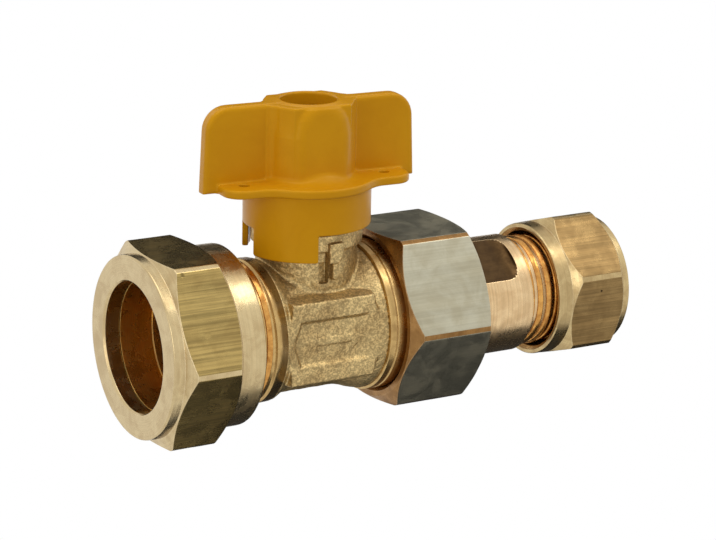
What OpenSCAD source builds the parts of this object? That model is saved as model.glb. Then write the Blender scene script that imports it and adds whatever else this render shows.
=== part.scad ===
// Gas ball valve for a 22 mm inlet pipe and a 15 mm outlet pipe.
// Lengths in millimetres. The pipe line runs along X, inlet at -X, and the stem stands along +Z.
// The origin is where the end of the inlet pipe rests. Stations along the pipe line are counted
// from the ball centre, and the whole valve is moved to the origin at the end of the file.
// Everything is shown with the valve open and every nut done up.

/* [Pipes] */
// Radius of the inlet pipe socket
inlet_pipe_radius = 11.15; // [11.05:0.05:11.2]
// Radius of the outlet pipe socket
outlet_pipe_radius = 7.58; // [7.5:0.02:7.64]
// Radius of the waterway through the ball and the seats
waterway_radius = 5.75; // [5.5:0.05:5.85]
// Gap that lets one turning part move in another, on the radius
running_gap = 0.07; // [0.05:0.01:0.09]

/* [Body] */
// Distance from the end of the inlet pipe to the ball centre
stop_to_ball = 13.6; // [13.4:0.1:13.8]
// Outside radius of the cast barrel round the ball
barrel_radius = 11.35; // [11.3:0.05:11.6]
// Distance from the ball centre to the inlet end of the body
body_inlet_length = 25.4; // [25:0.1:25.8]
// Distance from the ball centre to the union end of the body
body_union_length = 19.5; // [19.2:0.1:19.8]
// Radius over the crests of the inlet and union threads
large_thread_radius = 13.2; // [13.15:0.05:13.3]
// Distance between neighbouring thread crests
thread_pitch = 1.814; // [1.7:0.002:1.9]
// Depth of the thread grooves that can be seen
thread_depth = 0.95; // [0.6:0.05:1]
// Outside radius of the neck that carries the stem
neck_radius = 8.75; // [8.5:0.05:8.8]
// Height of the top of the neck
neck_top = 22.4; // [22:0.1:22.8]
// Distance from the centre line to the face of the side pads
pad_face = 12; // [11.9:0.05:12.3]
// Half the height of the side pads
pad_half_height = 7.2; // [6.8:0.1:7.4]
// Depth of the hexagon recess in the side pads
pad_recess = 0.75; // [0.4:0.05:0.8]

/* [Ball and seats] */
// Radius of the ball
ball_radius = 9; // [8.9:0.05:9.05]
// Radius of the chamber that the ball turns in
chamber_radius = 9.4; // [9.35:0.05:9.5]
// Outside radius of the seat rings
seat_radius = 8; // [7.8:0.05:8.1]
// Width of the drive slot across the top of the ball
slot_width = 3.2; // [3:0.1:3.5]
// Radius of the threaded seat retainer
retainer_radius = 10.2; // [10.1:0.05:10.3]

/* [Stem] */
// Radius of the stem where it turns in the neck
stem_radius = 3.95; // [3.8:0.05:4]
// Side of the square that drives the handle
stem_square = 5.5; // [5.2:0.1:5.6]
// Height of the top of the stem
stem_top = 30.4; // [30:0.1:30.4]

/* [Handle] */
// How far the handle stands from its open stop, in degrees, clockwise from above
handle_rest_turn = 4.3; // [3:0.1:4.5]
// Distance from the stem line to the tip of each wing
wing_reach = 19.75; // [19:0.05:21]
// Thickness of the wings
wing_thickness = 2.9; // [2.6:0.1:3.2]
// Height of the top edge of the wings
wing_top = 39.5; // [39:0.1:40]
// Height of the underside of the flange
flange_bottom = 24.7; // [24.6:0.1:24.9]
// Thickness of the flange
flange_thickness = 1.6; // [1.4:0.1:1.8]
// Outside radius of the skirt
skirt_radius = 11; // [10.95:0.05:11.2]
// Inside radius of the skirt
skirt_bore_radius = 9.95; // [9.9:0.05:10.05]
// Height of the upper edge of the windows in the skirt
window_top = 18.2; // [18:0.1:18.6]
// Height of the lowest edge of the skirt
skirt_bottom = 13.5; // [13.3:0.1:13.9]

/* [Nuts] */
// Distance across the flats of the inlet nut
inlet_nut_flats = 32; // [31.6:0.1:32.4]
// Length of the inlet nut
inlet_nut_length = 17.2; // [17:0.1:17.6]
// How far the inlet nut reaches over the end of the body
inlet_nut_overlap = 9.4; // [9.2:0.1:9.6]
// Distance across the flats of the union nut
union_nut_flats = 30; // [29.6:0.1:30.4]
// Length of the union nut
union_nut_length = 15.65; // [15.4:0.05:15.8]
// How far the union nut reaches over the union end of the body
union_nut_overlap = 7.2; // [7:0.1:7.2]
// Distance across the flats of the outlet nut
outlet_nut_flats = 24; // [23.6:0.1:24.4]
// Length of the outlet nut
outlet_nut_length = 15.3; // [15.1:0.1:15.6]
// How far the outlet nut reaches over the end of the tailpiece
outlet_nut_overlap = 6.3; // [6.1:0.1:6.4]
// Radius over the crests of the outlet thread
small_thread_radius = 10.48; // [10.4:0.02:10.6]
// Distance from the ball centre to the outlet end of the tailpiece
tailpiece_length = 51.5; // [51.2:0.1:51.8]

/* [Hidden] */
$fn = 72;
cut_over = 0.02;
seat_gap = 0.03;

// Stations along the pipe line
collar_left = -12.2;
collar_right = -10.2;
collar_radius = 12.6;
barrel_left = -7.6;
barrel_right = 3;
shoulder_left = 9.3;
ramp_length = shoulder_left - barrel_right;
ramp_rise = 1.4;
socket_stop = -stop_to_ball;
mouth_depth = 1.65;
mouth_flare = 0.95;
seat_back = 8.6;
seat_front = 5.2;
chamber_end = 6.3;
retainer_setback = 3;
retainer_end = body_union_length - retainer_setback;
retainer_nose_radius = chamber_radius - 0.1;
retainer_groove_left = 7.4;
retainer_groove_width = 1.6;
retainer_groove_depth = 1.15;
retainer_groove_radius = retainer_radius - retainer_groove_depth;
retainer_key_flats = 14;
retainer_key_depth = 3.5;
union_groove = 10.9;

// Side pad, its recess and the arrow in it
pad_left = -8.9;
pad_right = 6.9;
pad_tips = [-9.8, 8.8];
recess_left = -7.5;
recess_right = 5.95;
recess_half_height = 4.15;
recess_tips = [-9, 8.1];
arrow_left = -6.6;
arrow_right = 5.4;
arrow_half = 2.3;
arrow_shaft = 0.8;
arrow_head = 2.4;
arrow_height = 0.45;

// Heights in the neck
collar_low = 14.9;
collar_high = 18;
neck_collar_radius = 9.6;
neck_pocket_radius = 5.6;
neck_pocket_top = 11.6;
washer_thickness = 0.6;
flange_height = 1.4;
stem_flange_radius = neck_pocket_radius - 0.1;
stem_bore_radius = stem_radius + running_gap;
groove_depth = 0.95;
groove_height = 1.5;
lower_groove = 13.3;
upper_groove = 16.6;
tang_bottom = 7;
tang_length = 8.4;
slot_floor = tang_bottom - 0.15;
stem_square_bottom = neck_top - 0.5;

// Stop lug on the neck, as seen from the front
lug_front = 10.5;
lug_top = 16.6;
lug_bottom = 10;
lug_left = -1.2;
lug_right = 1.6;
web_front = 10.25;
web_left = -0.45;
web_right = 0.65;
head_corner = 14.3;
head_bottom = 13;
pocket_left = -2.1;
pocket_right = -0.55;
pocket_low = 9.3;
pocket_high = 12.9;
pocket_depth = 1.2;

// Handle
flange_top = flange_bottom + flange_thickness;
flange_radius = 11.6;
ear_reach = 17.3;
ear_half_width = 6.9;
ear_corner = 3.4;
ear_hole_x = 13.1;
ear_hole_y = 3;
ear_hole_radius = 0.9;
hub_radius = 7.9;
hub_flat = 6.8;
hub_hole_radius = 4.83;
hub_floor = stem_top + 0.1;
skirt_roof = 23.3;
fillet_reach = 9.8;
fillet_radius = 3;
fillet_start = 48;
wing_corner = 4.2;
wing_taper = 0.45;
wing_edge = 0.5;
front_sector = [-170.7, -104.1];
back_sector = [9.3, 75.9];
side_tab = [138.3, 156.3];
square_play = 0.05;

// Handle fixing
fixing_washer_radius = 4.4;
fixing_washer_thickness = 0.8;
fixing_radius = 1.95;
fixing_head_flats = 7;
fixing_head_height = 2.8;
fixing_reach = 7.4;

// Inlet nut and olive, placed from the inlet end of the body
inlet_end = -body_inlet_length;
inlet_nut_end = inlet_end + inlet_nut_overlap;
inlet_face = inlet_nut_end - inlet_nut_length;
inlet_boss_length = 2.05;
inlet_chamfers = [1.05, 1.35];
inlet_collar_length = 4.7;
inlet_hex = [inlet_face + inlet_boss_length, inlet_face + inlet_boss_length + inlet_chamfers[0],
             inlet_nut_end - inlet_collar_length - inlet_chamfers[1], inlet_nut_end - inlet_collar_length];
inlet_nut_raise = 27.9;
inlet_collar_radius = 15.7;
inlet_web_length = 2.9;
inlet_web = inlet_face + inlet_web_length;
inlet_olive_radius = 12.4;
inlet_olive_length = 6;
inlet_olive_left = inlet_web + 0.3;
inlet_olive_right = inlet_olive_left + inlet_olive_length;
inlet_cone_length = 1.5;
nut_thread_spare = 2;
nut_thread_end = inlet_end - nut_thread_spare;
olive_fit = 0.03;
olive_tail = 2;

// Union nut, gasket and tailpiece, placed from the union end of the body
union_face = body_union_length - union_nut_overlap;
union_end = union_face + union_nut_length;
union_chamfers = [1.57, 0.6];
union_hex = [union_face + union_chamfers[0], union_end - union_chamfers[1]];
union_nut_raise = 28.8;
union_mouth = 0.65;
gasket_thickness = 1.5;
gasket_inner_radius = 8.9;
gasket_outer_radius = 12.4;
tail_flange_left = body_union_length + gasket_thickness;
tail_flange_right = tail_flange_left + 2.4;
tail_flange_radius = 12.6;
tail_radius = 10.5;
tail_bore_radius = 6.2;
tail_flat_offset = 9.3;
tail_flat_length = 8.05;
tail_flat_end = union_end + tail_flat_length;
tail_flat_runout = 2.5;
tail_flat_raise = 57;
tail_thread_length = 10.9;
tail_shoulder = tailpiece_length - tail_thread_length;
tail_socket_depth = 10;
tail_socket_stop = tailpiece_length - tail_socket_depth;
small_mouth_depth = 1.4;
small_mouth_flare = 0.8;

// Outlet nut and olive, placed from the outlet end of the tailpiece
outlet_nut_start = tailpiece_length - outlet_nut_overlap;
outlet_face = outlet_nut_start + outlet_nut_length;
outlet_collar_length = 2.9;
outlet_chamfer = 1.2;
outlet_boss_length = 1.6;
outlet_hex = [outlet_nut_start + outlet_collar_length,
              outlet_nut_start + outlet_collar_length + outlet_chamfer,
              outlet_face - outlet_boss_length - outlet_chamfer, outlet_face - outlet_boss_length];
outlet_nut_raise = -11.1;
outlet_collar_radius = 11.9;
outlet_boss_radius = 11.75;
outlet_web = outlet_hex[2];
outlet_olive_length = 7;
outlet_olive_right = outlet_web - 0.4;
outlet_olive_left = outlet_olive_right - outlet_olive_length;
outlet_olive_radius = 8.8;
outlet_cone_length = 1.9;
corner_trim = 0.27;

// Colours
module brass() color([0.73, 0.6, 0.36]) children();
module yellow() color([0.87, 0.62, 0.06]) children();
module polymer() color([0.93, 0.92, 0.88]) children();
module rubber() color([0.08, 0.08, 0.08]) children();
module steel() color([0.7, 0.71, 0.72]) children();
module fibre() color([0.72, 0.36, 0.22]) children();

// Turns the children so that their Z axis lies along the pipe line.
module along_pipe() rotate([0, 90, 0]) children();

// A shape turned round the pipe line, from points given as [station, radius].
module turned(points) along_pipe() rotate_extrude() polygon([for (p = points) [p[1], p[0]]]);

// A round bar on the pipe line between two stations.
module round_bar(from, to, radius) along_pipe() translate([0, 0, from]) cylinder(r = radius, h = to - from);

// A hexagon bar on the pipe line, one flat facing the front and raised by an angle.
module hex_bar(from, to, flats, raise)
    rotate([-raise, 0, 0]) along_pipe() translate([0, 0, from])
        cylinder(r = flats / 2 / cos(30), h = to - from, $fn = 6);

// The width across the trimmed corners of a hexagon bar, as a radius.
function corner_radius(flats) = flats / 2 / cos(30) - corner_trim;

// Points of a run of thread crests and grooves between two stations, first groove at the start.
function ridge_points(from, count, crest) = [
    for (i = [0 : count - 1], p = [[0, crest], [0.28, crest - thread_depth],
            [0.5, crest - thread_depth], [0.78, crest]])
        [from + (i + p[0]) * thread_pitch, p[1]]
];

// A ring of round section lying flat at a height.
module o_ring(centre_radius, section_radius)
    rotate_extrude() translate([centre_radius, 0]) circle(r = section_radius, $fn = 24);

// Everything that turns with the handle is placed by this one angle.
module at_rest() rotate([0, 0, -handle_rest_turn]) children();

// Body

// The outside of the casting as one turned shape, with the threads that can be seen.
module body_outline() {
    turned(concat(
        [[-body_inlet_length, 0], [-body_inlet_length, large_thread_radius - 0.6],
         [-body_inlet_length + 0.6, large_thread_radius]],
        ridge_points(collar_left - 2.5 * thread_pitch, 3, large_thread_radius),
        [[collar_left + 0.5 * thread_pitch, collar_radius], [collar_right, collar_radius - 0.1],
         [(collar_right + barrel_left) / 2, barrel_radius + 0.5],
         [barrel_left, barrel_radius], [barrel_right, barrel_radius],
         [barrel_right + ramp_length / 3, barrel_radius + ramp_rise / 4],
         [barrel_right + ramp_length * 0.7, barrel_radius + ramp_rise * 0.75],
         [shoulder_left, large_thread_radius - 0.45], [shoulder_left + 0.35, large_thread_radius],
         [union_groove - 0.25, large_thread_radius], [union_groove, large_thread_radius - 0.3],
         [union_groove + 0.25, large_thread_radius],
         [body_union_length - 0.7, large_thread_radius],
         [body_union_length, large_thread_radius - 0.7], [body_union_length, 0]]));
}

// A hexagon seen from the front, in X and Z, from its two corners and its two tips.
function hexagon_points(left, right, half_height, tips) = [
    [left, half_height], [right, half_height], [tips[1], 0],
    [right, -half_height], [left, -half_height], [tips[0], 0]];

// The arrow for both ways of flow: two heads on one shaft, in X and Z.
function arrow_points(left, right) = [
    [left, 0], [left + arrow_head, arrow_half], [left + arrow_head, arrow_shaft],
    [right - arrow_head, arrow_shaft], [right - arrow_head, arrow_half], [right, 0],
    [right - arrow_head, -arrow_half], [right - arrow_head, -arrow_shaft],
    [left + arrow_head, -arrow_shaft], [left + arrow_head, -arrow_half]];

// A flat shape drawn in X and Z, standing between two distances in front of the stem line.
module plate_front(from, to) translate([0, -from, 0]) rotate([90, 0, 0]) linear_extrude(to - from) children();

// The raised hexagon pad with its sunk hexagon and the arrow that shows gas may flow both ways.
module side_pad() {
    difference() {
        plate_front(chamber_radius, pad_face)
            polygon(hexagon_points(pad_left, pad_right, pad_half_height, pad_tips));
        plate_front(pad_face - pad_recess, pad_face + 1)
            polygon(hexagon_points(recess_left, recess_right, recess_half_height, recess_tips));
    }
    plate_front(pad_face - pad_recess - arrow_height, pad_face - pad_recess + arrow_height)
        polygon(arrow_points(arrow_left, arrow_right));
}

// The stop lug: a rounded head on a narrow web, cast on the front of the neck.
module stop_lug() {
    plate_front(neck_radius - 1, lug_front)
        polygon([[lug_left, head_bottom], [lug_left, lug_top - 0.3], [lug_left + 0.3, lug_top],
                 [lug_right - 0.35, lug_top], [lug_right, lug_top - 0.35], [lug_right, head_corner],
                 [web_right, head_bottom]]);
    plate_front(neck_radius - 1, web_front)
        polygon([[web_left, lug_bottom + 0.3], [web_left, head_bottom + 0.1],
                 [web_right, head_bottom + 0.1], [web_right, lug_bottom + 0.3],
                 [(web_left + web_right) / 2, lug_bottom]]);
}

// The sunk slot beside the web of the stop lug.
module lug_pocket()
    plate_front(neck_radius - pocket_depth, lug_front)
        translate([pocket_left, pocket_low]) square([pocket_right - pocket_left, pocket_high - pocket_low]);

// Everything bored out of the casting.
module body_bores() {
    turned([[-body_inlet_length - cut_over, 0],
            [-body_inlet_length - cut_over, inlet_pipe_radius + mouth_flare],
            [-body_inlet_length, inlet_pipe_radius + mouth_flare],
            [-body_inlet_length + mouth_depth, inlet_pipe_radius], [socket_stop, inlet_pipe_radius],
            [socket_stop, waterway_radius], [-seat_back, waterway_radius], [-seat_back, seat_radius],
            [-seat_front - 1, seat_radius], [-seat_front - 1, chamber_radius],
            [chamber_end, chamber_radius], [chamber_end, retainer_radius],
            [body_union_length - 0.6, retainer_radius], [body_union_length, retainer_radius + 0.6],
            [body_union_length + cut_over, retainer_radius + 0.6], [body_union_length + cut_over, 0]]);
    cylinder(r = neck_pocket_radius, h = neck_pocket_top);
    cylinder(r = stem_bore_radius, h = neck_top + 1);
}

module valve_body() brass() difference() {
    union() {
        body_outline();
        side_pad();
        rotate([0, 0, 180]) mirror([1, 0, 0]) side_pad();
        cylinder(r = neck_radius, h = neck_top - 0.5);
        translate([0, 0, neck_top - 0.5]) cylinder(r1 = neck_radius, r2 = neck_radius - 0.5, h = 0.5);
        translate([0, 0, collar_low])
            cylinder(r = neck_collar_radius, h = collar_high - collar_low);
        stop_lug();
    }
    body_bores();
    lug_pocket();
}

// Ball, seats and retainer

// The seat ring on the inlet side, hollowed to the ball.
module seat_ring() difference() {
    turned([[-seat_back, waterway_radius + 0.1], [-seat_back, seat_radius - seat_gap],
            [-seat_front, seat_radius - seat_gap], [-seat_front, waterway_radius + 0.1]]);
    sphere(r = ball_radius + seat_gap, $fn = 96);
}

module inlet_seat() polymer() seat_ring();

module outlet_seat() polymer() mirror([1, 0, 0]) seat_ring();

module seat_retainer() brass() difference() {
    turned([[seat_front, 0], [seat_front, retainer_nose_radius], [chamber_end, retainer_nose_radius],
            [chamber_end, retainer_radius - seat_gap],
            [retainer_groove_left, retainer_radius - seat_gap],
            [retainer_groove_left, retainer_groove_radius],
            [retainer_groove_left + retainer_groove_width, retainer_groove_radius],
            [retainer_groove_left + retainer_groove_width, retainer_radius - seat_gap],
            [retainer_end - 0.5, retainer_radius - seat_gap], [retainer_end, retainer_radius - 0.5],
            [retainer_end, 0]]);
    round_bar(seat_front - 1, retainer_end + 1, waterway_radius);
    round_bar(seat_front - 1, seat_back, seat_radius);
    hex_bar(retainer_end - retainer_key_depth, retainer_end + 1, retainer_key_flats, 0);
}

module retainer_ring() rubber()
    translate([retainer_groove_left + retainer_groove_width / 2, 0, 0]) along_pipe()
        o_ring((retainer_groove_radius + retainer_radius) / 2,
               (retainer_radius - retainer_groove_radius) / 2 - 0.01);

module ball() steel() at_rest() difference() {
    sphere(r = ball_radius, $fn = 96);
    round_bar(-ball_radius - 1, ball_radius + 1, waterway_radius);
    translate([-slot_width / 2, -ball_radius, slot_floor]) cube([slot_width, 2 * ball_radius, ball_radius]);
}

// Stem

// A ring groove turned into the stem.
module stem_groove(height)
    translate([0, 0, height]) difference() {
        cylinder(r = stem_radius + 1, h = groove_height);
        cylinder(r = stem_radius - groove_depth, h = groove_height);
    }

module stem() brass() at_rest() difference() {
    union() {
        intersection() {
            translate([-slot_width / 2 + 0.1, -tang_length / 2, tang_bottom])
                cube([slot_width - 0.2, tang_length, ball_radius + 1 - tang_bottom]);
            cylinder(r = stem_flange_radius - 0.2, h = ball_radius + 2);
        }
        translate([0, 0, neck_pocket_top - washer_thickness - flange_height])
            cylinder(r = stem_flange_radius, h = flange_height);
        translate([0, 0, neck_pocket_top - washer_thickness - 0.1])
            cylinder(r = stem_radius, h = stem_square_bottom - neck_pocket_top + washer_thickness + 0.1);
        translate([-stem_square / 2, -stem_square / 2, stem_square_bottom - 0.1])
            cube([stem_square, stem_square, stem_top - stem_square_bottom + 0.1]);
    }
    stem_groove(lower_groove);
    stem_groove(upper_groove);
    translate([0, 0, stem_top + fixing_washer_thickness - fixing_reach - 1])
        cylinder(r = fixing_radius + 0.03, h = fixing_reach + 1);
}

module thrust_washer() polymer() translate([0, 0, neck_pocket_top - washer_thickness]) difference() {
    cylinder(r = neck_pocket_radius - 0.05, h = washer_thickness);
    translate([0, 0, -1]) cylinder(r = stem_bore_radius, h = washer_thickness + 2);
}

// One ring sealing the stem, in its groove.
module stem_ring(height)
    translate([0, 0, height + groove_height / 2])
        o_ring(stem_radius - groove_depth / 2, groove_depth / 2 - 0.01);

module lower_stem_ring() rubber() at_rest() stem_ring(lower_groove);

module upper_stem_ring() rubber() at_rest() stem_ring(upper_groove);

// Handle

// How far the hub has drawn in at each height below the top of the wings: [depth, inward].
hub_dome = [[5.3, 0], [3.5, 0.2], [2.3, 0.4], [1.4, 0.7], [0.45, 1.1], [0.05, 1.6], [-0.15, 2.4]];

// Outline of the hub from above the flange: turned, narrowing to a dome, closed on the stem line.
function dome_points(grow) = concat(
    [[0, flange_bottom], [hub_radius + grow, flange_bottom]],
    [for (p = hub_dome) [hub_radius - p[1] + grow, wing_top - p[0]]],
    [[0, wing_top - hub_dome[6][0]]]);

// One quarter of a hollow fillet that leads the round hub into a wing, seen from above.
module hub_fillet() {
    centre = [fillet_reach, wing_thickness / 2 + fillet_radius];
    polygon(concat(
        [[0, 0], [fillet_reach, 0]],
        [for (a = [0 : 6]) [centre[0] - fillet_radius * sin(a * 12), centre[1] - fillet_radius * cos(a * 12)]],
        [[hub_radius * cos(fillet_start), hub_radius * sin(fillet_start)]]));
}

// The round hub with its front and back flats and the fillets that lead into the wings.
module hub() {
    intersection() {
        rotate_extrude() polygon(dome_points(0));
        translate([-hub_radius - 1, -hub_flat, 0]) cube([2 * hub_radius + 2, 2 * hub_flat, wing_top + 2]);
    }
    intersection() {
        translate([0, 0, flange_bottom + 0.1]) linear_extrude(wing_top - flange_bottom)
            for (x = [0, 1], y = [0, 1]) mirror([x, 0]) mirror([0, y]) hub_fillet();
        rotate_extrude() polygon(dome_points(2.2));
    }
}

// Outline of both wings in X and Z, drawn a given distance inside the real edge.
function wing_points(inset) = concat(
    [[-wing_reach + inset, flange_bottom + inset], [wing_reach - inset, flange_bottom + inset]],
    [for (a = [0 : 15 : 90])
        [wing_reach - wing_taper - wing_corner + (wing_corner - inset) * cos(a),
         wing_top - wing_corner + (wing_corner - inset) * sin(a)]],
    [for (a = [90 : 15 : 180])
        [-wing_reach + wing_taper + wing_corner + (wing_corner - inset) * cos(a),
         wing_top - wing_corner + (wing_corner - inset) * sin(a)]]);

// Both wings in one plate, its edges eased in two steps.
module wings() {
    half = wing_thickness / 2;
    plate_front(-half, half) polygon(wing_points(wing_edge));
    plate_front(-half + 0.15, half - 0.15) polygon(wing_points(wing_edge / 2.5));
    plate_front(-half + wing_edge, half - wing_edge) polygon(wing_points(0));
}

// One rounded ear of the flange, with the two holes for sealing wire cut later.
module ears() {
    x = ear_reach - ear_corner;
    y = ear_half_width - ear_corner;
    translate([-ear_reach, -y]) square([2 * ear_reach, 2 * y]);
    translate([-x, -ear_half_width]) square([2 * x, 2 * ear_half_width]);
    for (sx = [-1, 1], sy = [-1, 1]) translate([sx * x, sy * y]) circle(r = ear_corner, $fn = 48);
}

module ear_holes()
    for (sx = [-1, 1], sy = [-1, 1])
        translate([sx * ear_hole_x, sy * ear_hole_y]) circle(r = ear_hole_radius, $fn = 24);

// A sector of the skirt between two angles, seen from above.
module skirt_sector(angles) intersection() {
    difference() {
        circle(r = skirt_radius);
        circle(r = skirt_bore_radius);
    }
    polygon(concat([[0, 0]], [for (a = [0 : 4])
        2 * skirt_radius * [cos(angles[0] + (angles[1] - angles[0]) * a / 4),
                            sin(angles[0] + (angles[1] - angles[0]) * a / 4)]]));
}

// The skirt that hangs from the flange round the neck.
module skirt() {
    translate([0, 0, window_top]) difference() {
        cylinder(r = skirt_radius, h = flange_bottom - window_top + 0.2);
        translate([0, 0, -1]) cylinder(r = skirt_bore_radius, h = skirt_roof - window_top + 1);
    }
    translate([0, 0, skirt_bottom]) linear_extrude(window_top - skirt_bottom + 0.1) {
        skirt_sector(front_sector);
        skirt_sector(back_sector);
        skirt_sector(side_tab);
    }
}

module handle() yellow() at_rest() difference() {
    union() {
        hub();
        wings();
        translate([0, 0, flange_bottom]) cylinder(r = flange_radius, h = flange_thickness);
        translate([0, 0, flange_top - 0.01])
            cylinder(r1 = hub_radius + 1.4, r2 = hub_radius - 0.9, h = 1.2);
        translate([0, 0, flange_bottom]) linear_extrude(flange_thickness) ears();
        skirt();
    }
    translate([0, 0, flange_bottom - 1]) linear_extrude(flange_thickness + 2) ear_holes();
    translate([0, 0, hub_floor]) cylinder(r = hub_hole_radius, h = wing_top);
    translate([0, 0, wing_top - 0.25]) cylinder(r1 = hub_hole_radius, r2 = hub_hole_radius + 0.6, h = 0.6);
    translate([-stem_square / 2 - square_play, -stem_square / 2 - square_play, skirt_roof - 1])
        cube([stem_square + 2 * square_play, stem_square + 2 * square_play, wing_top]);
}

module handle_washer() steel() at_rest() translate([0, 0, hub_floor]) difference() {
    cylinder(r = fixing_washer_radius, h = fixing_washer_thickness);
    translate([0, 0, -1]) cylinder(r = fixing_radius + 0.2, h = fixing_washer_thickness + 2);
}

module handle_screw() steel() at_rest() translate([0, 0, hub_floor + fixing_washer_thickness]) {
    intersection() {
        cylinder(r = fixing_head_flats / 2 / cos(30), h = fixing_head_height, $fn = 6);
        union() {
            cylinder(r = fixing_head_flats, h = fixing_head_height - 0.6);
            translate([0, 0, fixing_head_height - 0.6])
                cylinder(r1 = fixing_head_flats / 2 + 0.55, r2 = fixing_head_flats / 2 - 0.2, h = 0.6);
        }
    }
    translate([0, 0, 0.1 - fixing_reach]) cylinder(r = fixing_radius, h = fixing_reach);
}

// Inlet nut and olive

// The inside of a compression nut: pipe hole, cone for the olive, then the threaded bore.
module inlet_nut() brass() difference() {
    flats = inlet_nut_flats / 2;
    corner = corner_radius(inlet_nut_flats);
    union() {
        intersection() {
            hex_bar(inlet_hex[0], inlet_hex[3], inlet_nut_flats, inlet_nut_raise);
            turned([[inlet_hex[0], 0], [inlet_hex[0], flats], [inlet_hex[1], corner],
                    [inlet_hex[2], corner], [inlet_hex[3], flats], [inlet_hex[3], 0]]);
        }
        turned([[inlet_face, 0], [inlet_face, flats - 0.4], [inlet_face + 0.25, flats - 0.2],
                [inlet_hex[0] + 0.1, flats - 0.2], [inlet_hex[0] + 0.1, 0]]);
        turned([[inlet_hex[3] - 0.1, 0], [inlet_hex[3] - 0.1, inlet_collar_radius],
                [inlet_nut_end - 0.3, inlet_collar_radius], [inlet_nut_end, inlet_collar_radius - 0.3],
                [inlet_nut_end, 0]]);
    }
    turned([[inlet_face - 1, 0], [inlet_face - 1, inlet_pipe_radius + 0.3],
            [inlet_face, inlet_pipe_radius + 0.3], [inlet_face + 0.25, inlet_pipe_radius + 0.05],
            [inlet_web, inlet_pipe_radius + 0.05],
            [inlet_olive_left + inlet_cone_length + 0.1, inlet_olive_radius + 0.2],
            [nut_thread_end, inlet_olive_radius + 0.2],
            [nut_thread_end, large_thread_radius + running_gap],
            [inlet_nut_end - 0.6, large_thread_radius + running_gap],
            [inlet_nut_end, large_thread_radius + 0.7], [inlet_nut_end + 1, large_thread_radius + 0.7],
            [inlet_nut_end + 1, 0]]);
}

module inlet_olive() brass() {
    bore = inlet_pipe_radius + olive_fit;
    turned([[inlet_olive_left, bore], [inlet_olive_left, bore + 0.15],
            [inlet_olive_left + inlet_cone_length, inlet_olive_radius - 0.1],
            [inlet_olive_left + inlet_cone_length + 0.3, inlet_olive_radius],
            [inlet_olive_right - olive_tail, inlet_olive_radius], [inlet_olive_right, bore + 0.1],
            [inlet_olive_right, bore]]);
}

// Union

module union_nut() brass() difference() {
    flats = union_nut_flats / 2;
    corner = corner_radius(union_nut_flats);
    intersection() {
        hex_bar(union_face, union_end, union_nut_flats, union_nut_raise);
        turned([[union_face, 0], [union_face, flats], [union_hex[0], corner], [union_hex[1], corner],
                [union_end, corner - 1], [union_end, 0]]);
    }
    turned([[union_face - 1, 0], [union_face - 1, large_thread_radius + union_mouth],
            [union_face, large_thread_radius + union_mouth],
            [union_face + 0.7, large_thread_radius + running_gap],
            [tail_flange_right + 0.02, large_thread_radius + running_gap],
            [tail_flange_right + 0.02, tail_radius + running_gap],
            [union_end + 1, tail_radius + running_gap], [union_end + 1, 0]]);
}

module union_gasket() fibre()
    turned([[body_union_length, gasket_inner_radius], [body_union_length, gasket_outer_radius],
            [tail_flange_left, gasket_outer_radius], [tail_flange_left, gasket_inner_radius]]);

// The milled flat for a spanner, ending in the curve that the cutter leaves.
module spanner_flat()
    rotate([-tail_flat_raise, 0, 0]) translate([0, 0, -tail_radius]) linear_extrude(2 * tail_radius)
        polygon(concat(
            [[union_end - 3, -tail_radius - 1], [union_end - 3, -tail_flat_offset], [tail_flat_end, -tail_flat_offset]],
            [for (i = [1 : 5]) [tail_flat_end + tail_flat_runout * sin(i * 18),
                -tail_flat_offset - (tail_radius - tail_flat_offset) * (1 - cos(i * 18))]],
            [[tail_flat_end + tail_flat_runout, -tail_radius - 1]]));

module tailpiece() brass() difference() {
    turned(concat(
        [[tail_flange_left, 0], [tail_flange_left, tail_flange_radius - 0.4],
         [tail_flange_left + 0.4, tail_flange_radius], [tail_flange_right, tail_flange_radius],
         [tail_flange_right, tail_radius], [tail_shoulder - 0.1, tail_radius]],
        ridge_points(tail_shoulder - 0.35 * thread_pitch + 0.01, 4, small_thread_radius),
        [[tailpiece_length - 0.6, small_thread_radius], [tailpiece_length, small_thread_radius - 0.6],
         [tailpiece_length, 0]]));
    for (side = [0, 180]) rotate([side, 0, 0]) spanner_flat();
    turned([[tail_flange_left - 1, 0], [tail_flange_left - 1, tail_bore_radius],
            [tail_socket_stop, tail_bore_radius], [tail_socket_stop, outlet_pipe_radius],
            [tailpiece_length - small_mouth_depth, outlet_pipe_radius],
            [tailpiece_length, outlet_pipe_radius + small_mouth_flare],
            [tailpiece_length + 1, outlet_pipe_radius + small_mouth_flare], [tailpiece_length + 1, 0]]);
}

// Outlet nut and olive

module outlet_olive() brass() {
    bore = outlet_pipe_radius + olive_fit;
    turned([[outlet_olive_left, bore], [outlet_olive_left, bore + 0.05],
            [outlet_olive_left + olive_tail, outlet_olive_radius],
            [outlet_olive_right - 1.5, outlet_olive_radius], [outlet_olive_right, bore + 0.15],
            [outlet_olive_right, bore]]);
}

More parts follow.
